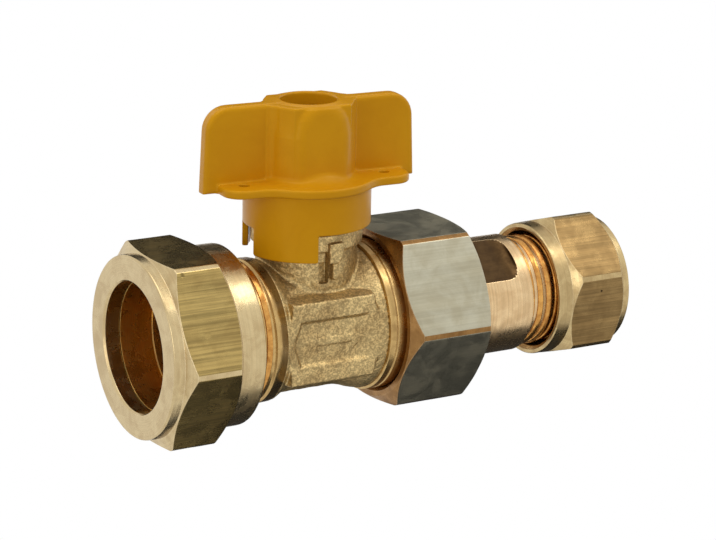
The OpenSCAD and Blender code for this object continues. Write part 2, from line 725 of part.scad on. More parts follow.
module outlet_nut() brass() difference() {
    flats = outlet_nut_flats / 2;
    corner = corner_radius(outlet_nut_flats);
    union() {
        intersection() {
            hex_bar(outlet_hex[0], outlet_hex[3], outlet_nut_flats, outlet_nut_raise);
            turned([[outlet_hex[0], 0], [outlet_hex[0], flats], [outlet_hex[1], corner],
                    [outlet_hex[2], corner], [outlet_hex[3], flats], [outlet_hex[3], 0]]);
        }
        turned([[outlet_hex[3] - 0.1, 0], [outlet_hex[3] - 0.1, outlet_boss_radius],
                [outlet_face - 0.4, outlet_boss_radius], [outlet_face, outlet_boss_radius - 0.4],
                [outlet_face, 0]]);
        turned([[outlet_nut_start, 0], [outlet_nut_start, outlet_collar_radius - 0.3],
                [outlet_nut_start + 0.3, outlet_collar_radius], [outlet_hex[0] + 0.1, outlet_collar_radius],
                [outlet_hex[0] + 0.1, 0]]);
    }
    turned([[outlet_nut_start - 1, 0], [outlet_nut_start - 1, small_thread_radius + 0.7],
            [outlet_nut_start, small_thread_radius + 0.7],
            [outlet_nut_start + 0.6, small_thread_radius + running_gap],
            [outlet_olive_right - outlet_cone_length, small_thread_radius + running_gap],
            [outlet_olive_right - outlet_cone_length, outlet_olive_radius + 0.3],
            [outlet_olive_right - outlet_cone_length + 0.6, outlet_olive_radius + 0.2],
            [outlet_web, outlet_pipe_radius + 0.04],
            [outlet_face - 0.25, outlet_pipe_radius + 0.04], [outlet_face, outlet_pipe_radius + 0.3],
            [outlet_face + 1, outlet_pipe_radius + 0.3], [outlet_face + 1, 0]]);
}

translate([stop_to_ball, 0, 0]) {
    valve_body();
    seat_retainer();
    retainer_ring();
    inlet_seat();
    outlet_seat();
    ball();
    stem();
    thrust_washer();
    lower_stem_ring();
    upper_stem_ring();
    handle();
    handle_washer();
    handle_screw();
    inlet_nut();
    inlet_olive();
    union_nut();
    union_gasket();
    tailpiece();
    outlet_olive();
    outlet_nut();
}
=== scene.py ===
# Looks of a gas ball valve: two compression nuts, a union, a cast body and a yellow wing handle.
# Sizes are millimetres counted from the ball centre; `placed` turns them into the shared frame.
import logging
import math
from dataclasses import dataclass, field
from enum import Enum
from itertools import product
from typing import Callable, Sequence

import bpy
import numpy as np
from mathutils import Matrix, Vector


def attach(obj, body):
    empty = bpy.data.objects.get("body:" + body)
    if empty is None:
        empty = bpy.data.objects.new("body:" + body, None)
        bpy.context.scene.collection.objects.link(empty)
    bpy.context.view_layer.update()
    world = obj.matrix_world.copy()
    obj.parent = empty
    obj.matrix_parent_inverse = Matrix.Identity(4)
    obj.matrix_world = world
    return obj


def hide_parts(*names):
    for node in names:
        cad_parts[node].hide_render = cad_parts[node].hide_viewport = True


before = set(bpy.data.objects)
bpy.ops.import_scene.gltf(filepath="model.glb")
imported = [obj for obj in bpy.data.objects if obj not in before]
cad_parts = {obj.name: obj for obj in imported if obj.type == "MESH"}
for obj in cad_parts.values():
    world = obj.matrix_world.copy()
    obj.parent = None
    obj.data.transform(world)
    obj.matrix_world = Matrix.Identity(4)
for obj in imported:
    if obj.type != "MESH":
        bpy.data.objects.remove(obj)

LOG = logging.getLogger("valve")
STEM_X = 13.6
METRE = 0.001
PITCH = 1.814
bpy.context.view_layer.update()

Colour = tuple[float, float, float]
Field = Callable[[np.ndarray, np.ndarray, np.ndarray], np.ndarray]
Place = tuple[float, float, float]


class Body(Enum):
    """The moving bodies of the valve."""

    VALVE = "valve"
    HANDLE = "handle_and_ball"
    INLET_OLIVE = "inlet_olive_ring"
    INLET_NUT = "inlet_nut_ring"
    TAIL = "union_tail"
    UNION_NUT = "union_nut_ring"
    OUTLET_OLIVE = "outlet_olive_ring"
    OUTLET_NUT = "outlet_nut_ring"


class Slot(Enum):
    """Names of the material slots."""

    CAST = "cast_brass"
    TURNED = "turned_brass"
    BAR = "bar_brass"
    OLIVE = "olive_brass"
    PLATING = "ball_plating"
    SEAT = "seat_polymer"
    RUBBER = "seal_rubber"
    COAT = "yellow_coat"
    ZINC = "zinc_steel"
    FIBRE = "gasket_fibre"


def placed(points: np.ndarray) -> np.ndarray:
    """Turn millimetres from the ball centre into metres in the shared frame."""
    return (points + np.array([STEM_X, 0.0, 0.0])) * METRE


def rgb(red: int, green: int, blue: int) -> Colour:
    """Turn a colour as it looks on a screen, 0 to 255, into linear light."""
    shares = (c / 255 for c in (red, green, blue))
    return tuple(s / 12.92 if s <= 0.04045 else ((s + 0.055) / 1.055) ** 2.4 for s in shares)


# Node trees


class Graph:
    """Adds nodes to a tree and links them."""

    def __init__(self, tree: bpy.types.NodeTree) -> None:
        """Keep the tree that the nodes go into."""
        self.tree = tree

    def add(self, kind: str, inputs: dict | None = None, **settings: object) -> bpy.types.Node:
        """Add a node.

        Args:
            kind: Blender's name of the node type.
            inputs: Values or sockets, by input name or number.
            settings: Properties of the node.

        Returns:
            The new node.
        """
        node = self.tree.nodes.new(kind)
        for key, value in settings.items():
            setattr(node, key, value)
        for key, value in (inputs or {}).items():
            socket = node.inputs[key]
            if isinstance(value, bpy.types.NodeSocket):
                self.tree.links.new(value, socket)
            else:
                socket.default_value = value
        return node

    def maths(self, operation: str, first: object, second: object = 0.0) -> bpy.types.NodeSocket:
        """Return the result of a Math node."""
        return self.add("ShaderNodeMath", {0: first, 1: second}, operation=operation).outputs[0]

    def ramp(self, value: object, low: float, high: float, start: float = 0.0,
             end: float = 1.0) -> bpy.types.NodeSocket:
        """Return a value mapped smoothly from one range to another, held at its ends."""
        return self.add("ShaderNodeMapRange", {"Value": value, "From Min": low, "From Max": high,
                                               "To Min": start, "To Max": end},
                        interpolation_type="SMOOTHSTEP").outputs[0]

    def blend(self, share: object, first: object, second: object, mode: str = "MIX") -> bpy.types.NodeSocket:
        """Return two colours mixed by a share."""
        first, second = ((*c, 1.0) if isinstance(c, tuple) and len(c) == 3 else c for c in (first, second))
        return self.add("ShaderNodeMix", {0: share, 6: first, 7: second}, data_type="RGBA",
                        blend_type=mode).outputs[2]


def effect_group(name: str, inputs: dict[str, float], outputs: Sequence[str]) -> tuple[bpy.types.NodeTree,
                                                                                       Graph, dict]:
    """Start a shader node group for an effect that several finishes share.

    Args:
        name: Name of the group.
        inputs: Name and plain value of each number that goes in.
        outputs: Names of the values that come out.

    Returns:
        The tree, a graph to fill it, and its input and output sockets by name.
    """
    tree = bpy.data.node_groups.new(name, "ShaderNodeTree")
    for key, value in inputs.items():
        tree.interface.new_socket(key, in_out="INPUT", socket_type="NodeSocketFloat").default_value = value
    for key in outputs:
        tree.interface.new_socket(key, in_out="OUTPUT", socket_type="NodeSocketFloat")
    graph = Graph(tree)
    sockets = {key: graph.add("NodeGroupInput").outputs[key] for key in inputs}
    end = graph.add("NodeGroupOutput")
    sockets.update({f"to {key}": end.inputs[key] for key in outputs})
    return tree, graph, sockets


class Effects:
    """The shared effects: each is a node group, built once."""

    def __init__(self) -> None:
        """Build every group."""
        self.streaks = self.build_streaks()
        self.grain = self.build_grain()
        self.wear = self.build_wear()
        self.stains = self.build_stains()
        self.pits = self.build_pits()
        self.rings = self.build_rings()

    @staticmethod
    def millimetres(graph: Graph, stretch: Sequence[float] = (1, 1, 1)) -> bpy.types.NodeSocket:
        """Return object coordinates in millimetres, stretched along each axis."""
        where = graph.add("ShaderNodeTexCoord").outputs["Object"]
        scale = tuple(s / METRE for s in stretch)
        return graph.add("ShaderNodeMapping", {"Vector": where, "Scale": scale}).outputs[0]

    def build_streaks(self) -> bpy.types.NodeTree:
        """Fine drawn lines along the pipe line, with a coarser run of bands."""
        tree, graph, at = effect_group("drawn_lines", {"Fineness": 1.0, "Bands": 0.4}, ["Value"])
        fine = graph.add("ShaderNodeTexNoise", {"Vector": self.millimetres(graph, (0.05, 3.2, 3.2)),
                                                "Detail": 3.0, "Scale": at["Fineness"], "Roughness": 0.65})
        broad = graph.add("ShaderNodeTexNoise", {"Vector": self.millimetres(graph, (0.035, 0.8, 0.8)),
                                                 "Detail": 2.0, "Scale": 1.0})
        both = graph.add("ShaderNodeMix", {0: at["Bands"], 2: fine.outputs[0], 3: broad.outputs[0]})
        tree.links.new(graph.ramp(both.outputs[0], 0.28, 0.72), at["to Value"])
        return tree

    def build_grain(self) -> bpy.types.NodeTree:
        """The skin that a sand mould leaves: grains of about a quarter of a millimetre."""
        tree, graph, at = effect_group("sand_skin", {"Grain": 0.3}, ["Height", "Value"])
        scale = graph.maths("DIVIDE", 1.0, at["Grain"])
        where = self.millimetres(graph)
        grains = graph.add("ShaderNodeTexVoronoi", {"Vector": where, "Scale": scale, "Randomness": 1.0},
                           feature="SMOOTH_F1")
        lumps = graph.add("ShaderNodeTexNoise", {"Vector": where, "Scale": graph.maths("MULTIPLY", scale,
                                                                                       0.45), "Detail": 4.0,
                                                 "Roughness": 0.6})
        height = graph.maths("ADD", graph.maths("MULTIPLY", grains.outputs["Distance"], 0.6),
                             lumps.outputs[0])
        tree.links.new(height, at["to Height"])
        tree.links.new(graph.ramp(height, 0.5, 1.1), at["to Value"])
        return tree

    def build_wear(self) -> bpy.types.NodeTree:
        """Where edges have been rubbed bright: the surface turns within a small distance."""
        tree, graph, at = effect_group("rubbed_edges", {"Width": 0.3, "Ragged": 0.5}, ["Mask"])
        around = graph.add("ShaderNodeBevel", {"Radius": graph.maths("MULTIPLY", at["Width"], METRE)},
                           samples=6)
        here = graph.add("ShaderNodeNewGeometry").outputs["Normal"]
        cosine = graph.add("ShaderNodeVectorMath", {0: around.outputs[0], 1: here}, operation="DOT_PRODUCT")
        turn = graph.ramp(graph.maths("SUBTRACT", 1.0, cosine.outputs["Value"]), 0.01, 0.09)
        chips = graph.add("ShaderNodeTexNoise", {"Vector": self.millimetres(graph), "Scale": 1.4,
                                                 "Detail": 5.0})
        kept = graph.maths("SUBTRACT", 1.0, graph.maths("MULTIPLY", at["Ragged"],
                                                        graph.ramp(chips.outputs[0], 0.4, 0.62)))
        tree.links.new(graph.maths("MULTIPLY", turn, kept), at["to Mask"])
        return tree

    def build_stains(self) -> bpy.types.NodeTree:
        """Cloudy patches of tarnish and handling, large with small ones in them."""
        tree, graph, at = effect_group("tarnish", {"Size": 4.0, "Seed": 0.0}, ["Value"])
        where = self.millimetres(graph)
        cloud = graph.add("ShaderNodeTexNoise", {"Vector": where, "W": at["Seed"], "Detail": 6.0,
                                                 "Roughness": 0.62, "Scale": graph.maths("DIVIDE", 1.0,
                                                                                         at["Size"]),
                                                 "Distortion": 0.6}, noise_dimensions="4D")
        tree.links.new(graph.ramp(cloud.outputs[0], 0.32, 0.68), at["to Value"])
        return tree

    def build_pits(self) -> bpy.types.NodeTree:
        """Scattered small pits: a mask that is 1 in a pit, and its height."""
        tree, graph, at = effect_group("pits", {"Spacing": 1.2, "Share": 0.3, "Seed": 0.0},
                                       ["Mask", "Height"])
        cells = graph.add("ShaderNodeTexVoronoi", {"Vector": self.millimetres(graph), "W": at["Seed"],
                                                   "Scale": graph.maths("DIVIDE", 1.0, at["Spacing"])},
                          voronoi_dimensions="4D")
        chance = graph.add("ShaderNodeSeparateColor", {0: cells.outputs["Color"]})
        chosen = graph.maths("LESS_THAN", chance.outputs[0], at["Share"])
        size = graph.maths("MULTIPLY", chance.outputs[1], 0.2)
        hole = graph.add("ShaderNodeMapRange", {"Value": cells.outputs["Distance"],
                                                "From Min": graph.maths("ADD", size, 0.1), "From Max": size,
                                                "To Min": 0.0, "To Max": 1.0}).outputs[0]
        mask = graph.maths("MULTIPLY", hole, chosen)
        tree.links.new(mask, at["to Mask"])
        tree.links.new(graph.maths("MULTIPLY", mask, -1.0), at["to Height"])
        return tree

    def build_rings(self) -> bpy.types.NodeTree:
        """Fine rings round the pipe line that a lathe tool leaves."""
        tree, graph, at = effect_group("turning_marks", {"Fineness": 1.0}, ["Value"])
        where = graph.add("ShaderNodeSeparateXYZ", {0: self.millimetres(graph)})
        radius = graph.maths("SQRT", graph.maths("ADD", graph.maths("POWER", where.outputs[1], 2.0),
                                                 graph.maths("POWER", where.outputs[2], 2.0)))
        line = graph.add("ShaderNodeCombineXYZ", {0: graph.maths("MULTIPLY", where.outputs[0], 5.0),
                                                  1: graph.maths("MULTIPLY", radius, 5.0)})
        marks = graph.add("ShaderNodeTexNoise", {"Vector": line.outputs[0], "Scale": at["Fineness"],
                                                 "Detail": 3.0, "Roughness": 0.7}, noise_dimensions="2D")
        tree.links.new(graph.ramp(marks.outputs[0], 0.3, 0.7), at["to Value"])
        return tree


# Finishes


@dataclass(frozen=True)
class Finish:
    """A surface: its plain colour, what it varies to, and its feel.

    Attributes:
        name: Name of the material.
        colour: Main colour.
        dull: Colour of tarnished patches.
        bright: Colour of rubbed edges.
        rough: Roughness of the clean surface.
        metal: 1 for bare metal, 0 for coats, polymers and rubber.
    """

    name: str
    colour: Colour
    dull: Colour
    bright: Colour
    rough: float = 0.3
    metal: float = 1.0
    stain_size: float = 4.0
    stain_share: float = 0.5
    stain_rough: float = 0.12
    seed: float = 0.0
    streaks: float = 0.0
    fineness: float = 1.0
    rings: float = 0.0
    grain: float = 0.0
    grain_size: float = 0.3
    wear: float = 0.5
    wear_width: float = 0.25
    pits: float = 0.0
    pit_spacing: float = 1.2
    gloss: float = 0.5
    gloss_tint: Colour = (1.0, 1.0, 1.0)
    orange_peel: float = 0.0

    def material(self, effects: Effects) -> bpy.types.Material:
        """Build the material.

        Args:
            effects: The shared effect groups.

        Returns:
            The material, ready to be put on a piece.
        """
        material = bpy.data.materials.new(self.name)
        material.use_nodes = True
        material.node_tree.nodes.clear()
        graph = Graph(material.node_tree)

        def effect(tree: bpy.types.NodeTree, values: dict[str, float]) -> bpy.types.Node:
            """Place one shared effect with this finish's values."""
            node = graph.add("ShaderNodeGroup", node_tree=tree)
            for key, value in values.items():
                node.inputs[key].default_value = value
            return node

        stains = effect(effects.stains, {"Size": self.stain_size, "Seed": self.seed}).outputs["Value"]
        colour = graph.blend(graph.maths("MULTIPLY", stains, self.stain_share), self.colour, self.dull)
        rough = graph.ramp(stains, 0.0, 1.0, self.rough, self.rough + self.stain_rough)
        heights: list[tuple[object, float]] = []
        if self.streaks:
            lines = effect(effects.streaks, {"Fineness": self.fineness}).outputs["Value"]
            shade = graph.ramp(lines, 0.0, 1.0, 1.0 - 0.55 * self.streaks, 1.0 + 0.15 * self.streaks)
            colour = graph.blend(1.0, colour, graph.add("ShaderNodeCombineColor", {0: shade, 1: shade,
                                                                                   2: shade}).outputs[0],
                                 "MULTIPLY")
            rough = graph.maths("ADD", rough, graph.maths("MULTIPLY", lines, -0.1 * self.streaks))
            heights.append((lines, 0.006 * self.streaks))
        if self.rings:
            marks = effect(effects.rings, {}).outputs["Value"]
            shade = graph.ramp(marks, 0.0, 1.0, 1.0 - 0.3 * self.rings, 1.0)
            colour = graph.blend(1.0, colour, graph.add("ShaderNodeCombineColor", {0: shade, 1: shade,
                                                                                   2: shade}).outputs[0],
                                 "MULTIPLY")
            heights.append((marks, 0.008 * self.rings))
        if self.grain:
            skin = effect(effects.grain, {"Grain": self.grain_size})
            hollows = graph.ramp(skin.outputs["Value"], 0.0, 1.0, 0.55, 1.08)
            colour = graph.blend(1.0, colour, graph.add("ShaderNodeCombineColor", {0: hollows, 1: hollows,
                                                                                   2: hollows}).outputs[0],
                                 "MULTIPLY")
            heights.append((skin.outputs["Height"], 0.09 * self.grain))
        if self.pits:
            holes = effect(effects.pits, {"Spacing": self.pit_spacing, "Share": self.pits, "Seed": self.seed})
            colour = graph.blend(holes.outputs["Mask"], colour, tuple(0.25 * c for c in self.dull))
            heights.append((holes.outputs["Height"], 0.06))
        if self.orange_peel:
            peel = graph.add("ShaderNodeTexNoise", {"Vector": effects.millimetres(graph), "Scale": 1.1,
                                                    "Detail": 2.0})
            heights.append((peel.outputs[0], self.orange_peel))
        if self.wear:
            edges = effect(effects.wear, {"Width": self.wear_width}).outputs["Mask"]
            share = graph.maths("MULTIPLY", edges, self.wear)
            colour = graph.blend(share, colour, self.bright)
            rough = graph.maths("SUBTRACT", rough, graph.maths("MULTIPLY", share, 0.08))
        normal = None
        for height, depth in heights:
            inputs = {"Height": height, "Strength": 1.0, "Distance": depth * METRE}
            if normal is not None:
                inputs["Normal"] = normal
            normal = graph.add("ShaderNodeBump", inputs).outputs[0]
        surface = {"Base Color": colour, "Roughness": rough, "Metallic": self.metal}
        if normal is not None:
            surface["Normal"] = normal
        surface.update({"Specular IOR Level": self.gloss, "Specular Tint": (*self.gloss_tint, 1.0)})
        shader = graph.add("ShaderNodeBsdfPrincipled", surface)
        graph.add("ShaderNodeOutputMaterial", {"Surface": shader.outputs[0]})
        return material


INLET_FLATS = Finish("inlet_nut_drawn_brass", rgb(188, 162, 100), rgb(134, 108, 62), rgb(236, 214, 170),
                     rough=0.27, streaks=0.8, stain_size=6.0, stain_share=0.5, pits=0.08, pit_spacing=2.6,
                     wear=0.5)
INLET_TURNED = Finish("inlet_nut_turned_brass", rgb(212, 190, 144), rgb(172, 142, 96), rgb(250, 238, 214),
                      rough=0.2, rings=0.35, stain_size=3.5, stain_share=0.45, seed=1.0, wear=0.5)
UNION_FLATS = Finish("union_nut_drawn_brass", rgb(190, 185, 162), rgb(150, 138, 108), rgb(240, 226, 196),
                     rough=0.32, streaks=0.25, stain_size=5.0, stain_share=0.45, seed=3.0, wear=0.6)
UNION_TURNED = Finish("union_nut_turned_brass", rgb(160, 120, 72), rgb(104, 72, 38), rgb(244, 226, 190),
                      rough=0.25, rings=0.4, stain_size=3.0, stain_share=0.6, seed=4.0, wear=0.6)
OUTLET_FLATS = Finish("outlet_nut_drawn_brass", rgb(150, 122, 78), rgb(112, 86, 50), rgb(232, 208, 162),
                      rough=0.27, streaks=0.6, fineness=1.5, stain_size=4.0, stain_share=0.45, seed=6.0,
                      pits=0.06, wear=0.6)
OUTLET_TURNED = Finish("outlet_nut_turned_brass", rgb(206, 182, 132), rgb(150, 118, 74), rgb(244, 230, 196),
                       rough=0.24, rings=0.35, stain_size=2.6, stain_share=0.5, seed=7.0, wear=0.6)
TAIL_BRASS = Finish("tail_brass", rgb(236, 204, 156), rgb(190, 150, 100), rgb(246, 224, 180), rough=0.22,
                    rings=0.6, stain_size=3.0, stain_share=0.45, seed=8.0, wear=0.5)
# Painted shade: a much darker copy of the tail brass for the milled flats, standing in for the dark that they
# mirror.
MILLED_PAINTED_SHADE = Finish("tail_milled_flat", rgb(84, 63, 38), rgb(52, 36, 20), rgb(180, 146, 96), rough=0.34,
                      streaks=0.3, stain_size=2.0, stain_share=0.6, seed=9.0, wear=0.3)
THREAD_BRASS = Finish("thread_brass", rgb(226, 170, 92), rgb(160, 98, 44), rgb(252, 222, 150), rough=0.18,
                      rings=0.3, stain_size=1.6, stain_share=0.7, seed=5.0, wear=0.7, wear_width=0.15)
BODY_BRASS = Finish("machined_body_brass", rgb(206, 172, 112), rgb(150, 114, 66), rgb(244, 214, 158),
                    rough=0.25, rings=0.5, stain_size=2.4, stain_share=0.5, seed=11.0, wear=0.5)
# Painted light: the bore brass is lifted to nearly full brightness, standing in for light that bounces round
# inside the bore; the olives take it too.
BORE_BRASS_PAINTED_LIGHT = Finish("socket_brass_painted_light", rgb(255, 218, 132), rgb(246, 164, 66), rgb(255, 222, 150), rough=0.2,
                    rings=0.4, stain_size=3.0, stain_share=0.6, seed=2.0, pits=0.25, pit_spacing=1.6,
                    wear=0.3)
CAST_BRASS = Finish("cast_brass_skin", rgb(222, 194, 136), rgb(164, 132, 84), rgb(240, 216, 164),
                    rough=0.45, stain_size=5.0, stain_share=0.55, stain_rough=0.1, seed=14.0, grain=0.6,
                    grain_size=0.26, wear=0.5, wear_width=0.35)
YELLOW = Finish("yellow_powder_coat", rgb(216, 152, 14), rgb(198, 132, 8), rgb(238, 190, 60), rough=0.3,
                metal=0.0, stain_size=9.0, stain_share=0.4, stain_rough=0.05, seed=20.0, wear=0.25,
                wear_width=0.4, gloss=0.3, gloss_tint=(1.0, 0.82, 0.3), orange_peel=0.02)
ZINC = Finish("zinc_plated_steel", rgb(190, 192, 190), rgb(140, 142, 138), rgb(225, 226, 222), rough=0.3,
              stain_size=2.0, seed=23.0, rings=0.2)
PLATING = Finish("polished_plating", rgb(214, 214, 212), rgb(180, 180, 176), rgb(235, 235, 232), rough=0.12,
                 stain_size=5.0, stain_share=0.3, seed=25.0, wear=0.2)
POLYMER = Finish("seat_polymer_white", rgb(226, 224, 214), rgb(204, 200, 184), rgb(236, 234, 226),
                 rough=0.5, metal=0.0, stain_size=3.0, stain_share=0.5, seed=27.0, rings=0.2, wear=0.2)
RUBBER = Finish("seal_rubber_black", rgb(24, 24, 25), rgb(36, 35, 34), rgb(50, 49, 48), rough=0.62, metal=0.0,
                stain_size=1.5, stain_share=0.6, seed=29.0, grain=0.1, grain_size=0.12, wear=0.3)
FIBRE = Finish("gasket_fibre_red", rgb(150, 72, 44), rgb(112, 52, 34), rgb(176, 96, 62), rough=0.75,
               metal=0.0, stain_size=1.0, stain_share=0.7, seed=31.0, grain=0.3, grain_size=0.18, wear=0.4)

# Meshes


def make_piece(name: str, points: np.ndarray, faces: np.ndarray, body: Body,
               material: bpy.types.Material, nodes: Sequence[str] = (),
               normals: np.ndarray | None = None,
               second: tuple[bpy.types.Material, np.ndarray] | None = None) -> bpy.types.Object:
    """Make a finished piece from points in millimetres and hang it on its body.

    Args:
        name: Name of the piece.
        points: Corner points, in millimetres from the ball centre.
        faces: Four corner numbers for each face.
        body: The body that it rides on.
        material: Its finish.
        nodes: CAD nodes that it stands for.
        normals: Normals at the points, where they are known better than the faces give them.
        second: Another finish, and a mask of the faces that have it.

    Returns:
        The object.
    """
    spots = placed(points)
    ends = [spots[faces[:, i]] for i in range(4)]
    across = np.cross(ends[2] - ends[0], ends[3] - ends[1])
    if np.einsum("ij,ij->", sum(ends), across) < 0:
        faces, across = faces[:, ::-1], -across
    mesh = bpy.data.meshes.new(name)
    mesh.from_pydata(spots.tolist(), [], faces.tolist())
    mesh.materials.append(material)
    if second is not None:
        mesh.materials.append(second[0])
        mesh.polygons.foreach_set("material_index", second[1].astype(np.int32))
    mesh.shade_smooth()
    if normals is None:
        normals = np.zeros_like(spots)
        for i in range(4):
            np.add.at(normals, faces[:, i], across)
    normals = normals / np.maximum(np.linalg.norm(normals, axis=1, keepdims=True), 1e-12)
    mesh.normals_split_custom_set_from_vertices(normals.tolist())
    piece = bpy.data.objects.new(name, mesh)
    bpy.context.scene.collection.objects.link(piece)
    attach(piece, body.value)
    if nodes:
        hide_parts(*nodes)
    LOG.info("%s: %d faces on %s", name, len(faces), body.value)
    return piece


def softened(outline: np.ndarray, radii: Sequence[float], steps: int = 3) -> np.ndarray:
    """Round the corners of closed outlines.

    Args:
        outline: Stations and radii, as angles by corners by 2.
        radii: Rounding of each corner, 0 to keep it sharp.
        steps: Faces in each rounding.

    Returns:
        The rounded outlines, with as many points at every angle.
    """
    pieces = []
    for i, radius in enumerate(radii):
        here = outline[:, i]
        if radius <= 0:
            pieces.append(here[:, None])
            continue
        back, ahead = outline[:, i - 1] - here, outline[:, (i + 1) % outline.shape[1]] - here
        lengths = [np.maximum(np.linalg.norm(v, axis=1), 1e-9) for v in (back, ahead)]
        back, ahead = back / lengths[0][:, None], ahead / lengths[1][:, None]
        half = np.arccos(np.clip(np.einsum("ij,ij->i", back, ahead), -1, 1)) / 2
        reach = np.minimum(radius / np.tan(np.maximum(half, 0.05)), 0.45 * np.minimum(*lengths))[:, None]
        for step in range(steps + 1):
            t = step / steps
            pieces.append((here + back * reach * (1 - t) ** 2 + ahead * reach * t ** 2)[:, None])
    return np.concatenate(pieces, axis=1)


def spun(outlines: np.ndarray, angles: np.ndarray) -> tuple[np.ndarray, np.ndarray]:
    """Turn one outline for each angle into a closed skin round the pipe line.

    Args:
        outlines: Stations and radii, as angles by corners by 2.
        angles: Angles round the pipe line, in radians from the front towards the top.

    Returns:
        Points and faces.
    """
    count, corners = outlines.shape[:2]
    station, radius = outlines[..., 0], outlines[..., 1]
    points = np.stack([station, -radius * np.cos(angles)[:, None], radius * np.sin(angles)[:, None]], axis=2)
    number = np.arange(count * corners).reshape(count, corners)
    right, ahead = np.roll(number, -1, axis=0), np.roll(number, -1, axis=1)
    both = np.roll(right, -1, axis=1)
    faces = np.stack([number, ahead, both, right], axis=2).reshape(-1, 4)
    return points.reshape(-1, 3), faces


def wandering(points: np.ndarray, size: float, seed: float) -> np.ndarray:
    """Return a smooth uneven value for each point, about -1 to 1, with bumps of a given size."""
    total = np.zeros(len(points))
    draw = np.random.default_rng(int(seed * 10))
    for _ in range(9):
        direction = draw.normal(size=3)
        total += np.sin(points @ (direction / size) + draw.uniform(0, 2 * math.pi))
    return total / 4.5


@dataclass
class Hexagon:
    """The hexagon of a nut: its width, its turn about the pipe line and its trimmed corners."""

    flats: float
    raised: float
    trim: float = 0.27

    @property
    def corner(self) -> float:
        """Return the radius over the trimmed corners."""
        return self.flats / 2 / math.cos(math.radians(30)) - self.trim

    def angles(self) -> np.ndarray:
        """Return angles that lie close where the corners are rounded."""
        edge = math.degrees(math.acos(self.flats / 2 / self.corner))
        near = [edge + d for d in (-0.8, -0.4, -0.15, 0.1, 0.4)]
        offsets = sorted([*np.linspace(-edge + 1.4, edge - 1.4, 23), *near, *(-n for n in near), 30.0])
        return np.radians(np.sort([self.raised + 60 * k + o for k in range(6) for o in offsets]))

    def radius(self, angles: np.ndarray) -> np.ndarray:
        """Return the outside radius at each angle."""
        off = (np.degrees(angles) - self.raised + 30) % 60 - 30
        flat = self.flats / 2 / np.cos(np.radians(off))
        return smooth_min(flat, np.full_like(flat, self.corner), 0.12)


@dataclass
class Dent:
    """A small hollow knocked into a nut, at a station and an angle from the front."""

    station: float
    angle: float
    width: float
    depth: float


@dataclass
class Nut:
    """A hexagon nut: its outline from one end to the other, its bore, and its knocks.

    Attributes:
        hexagon: The hexagon part.
        stations: Where the near chamfer starts and ends and the far chamfer starts and ends.
        cones: Radii at which the two chamfers run out.
        before: Corners of the outline before the hexagon, as (station, radius, rounding).
        after: Corners after it, and then the bore, back to the start.
    """

    name: str
    hexagon: Hexagon
    stations: tuple[float, float, float, float]
    cones: tuple[float, float]
    before: list[tuple[float, float, float]]
    after: list[tuple[float, float, float]]
    dents: list[Dent] = field(default_factory=list)
    along: int = 28

    def build(self) -> tuple[np.ndarray, np.ndarray]:
        """Return the points and faces of the nut."""
        angles = self.hexagon.angles()
        radius, corner = self.hexagon.radius(angles), self.hexagon.corner
        near_start, near_end, far_start, far_end = self.stations
        near = near_start + (radius - self.cones[0]) / (corner - self.cones[0]) * (near_end - near_start)
        far = far_end - (radius - self.cones[1]) / (corner - self.cones[1]) * (far_end - far_start)
        columns: list[tuple[np.ndarray, np.ndarray, float]] = []
        whole = np.ones_like(radius)
        for station, size, rounding in self.before:
            columns.append((whole * station, whole * size, rounding))
        columns.append((near, radius, 0.12))
        for share in np.linspace(0.04, 0.96, self.along):
            columns.append((near + (far - near) * share, radius, 0.0))
        columns.append((far, radius, 0.12))
        for station, size, rounding in self.after:
            columns.append((whole * station, whole * size, rounding))
        outline = np.stack([np.stack([x, r], axis=1) for x, r, _ in columns], axis=1)
        points, faces = spun(softened(outline, [c[2] for c in columns]), angles)
        return self.knocked(points), faces

    def on_flats(self, points: np.ndarray, faces: np.ndarray) -> np.ndarray:
        """Return a mask of the faces that are the drawn skin of the bar, between the turned chamfers."""
        middle = points[faces].mean(axis=1)
        angle = np.degrees(np.arctan2(middle[:, 2], -middle[:, 1]))
        off = np.radians((angle - self.hexagon.raised + 30) % 60 - 30)
        level = np.hypot(middle[:, 1], middle[:, 2]) * np.cos(off)
        near_start, near_end, far_start, far_end = self.stations
        size, corner = self.hexagon.flats / 2 / np.cos(off), self.hexagon.corner
        near = near_start + (size - self.cones[0]) / (corner - self.cones[0]) * (near_end - near_start)
        far = far_end - (size - self.cones[1]) / (corner - self.cones[1]) * (far_end - far_start)
        inside = (middle[:, 0] > near + 0.06) & (middle[:, 0] < far - 0.06)
        return inside & (np.abs(level - self.hexagon.flats / 2) < 0.35) & (size < corner)

    def knocked(self, points: np.ndarray) -> np.ndarray:
        """Return the points with the dents and a slight unevenness pressed into the outside."""
        around = np.hypot(points[:, 1], points[:, 2])
        angle = np.degrees(np.arctan2(points[:, 2], -points[:, 1]))
        outside = around > self.hexagon.flats / 2 - 1.2
        sunk = 0.012 * (1 + wandering(points, 0.9, self.hexagon.flats)) * outside
        for dent in self.dents:
            turn = np.radians((angle - dent.angle + 180) % 360 - 180) * around
            away = np.hypot(points[:, 0] - dent.station, turn) / dent.width
            sunk = sunk + dent.depth * np.exp(-away ** 2) * outside
        shrink = (1 - sunk / np.maximum(around, 1))[:, None]
        return np.concatenate([points[:, :1], points[:, 1:] * shrink], axis=1)


@dataclass
class Turning:
    """A piece turned on a lathe, from corners (station, radius, rounding) all the way round."""

    corners: list[tuple[float, float, float]]
    count: int = 144

    def build(self) -> tuple[np.ndarray, np.ndarray]:
        """Return the points and faces of the turned piece."""
        angles = np.linspace(0, 2 * math.pi, self.count, endpoint=False)
        outline = np.repeat(np.array([[c[:2] for c in self.corners]], float), self.count, axis=0)
        return spun(softened(outline, [c[2] for c in self.corners]), angles)


# Forms given by a distance


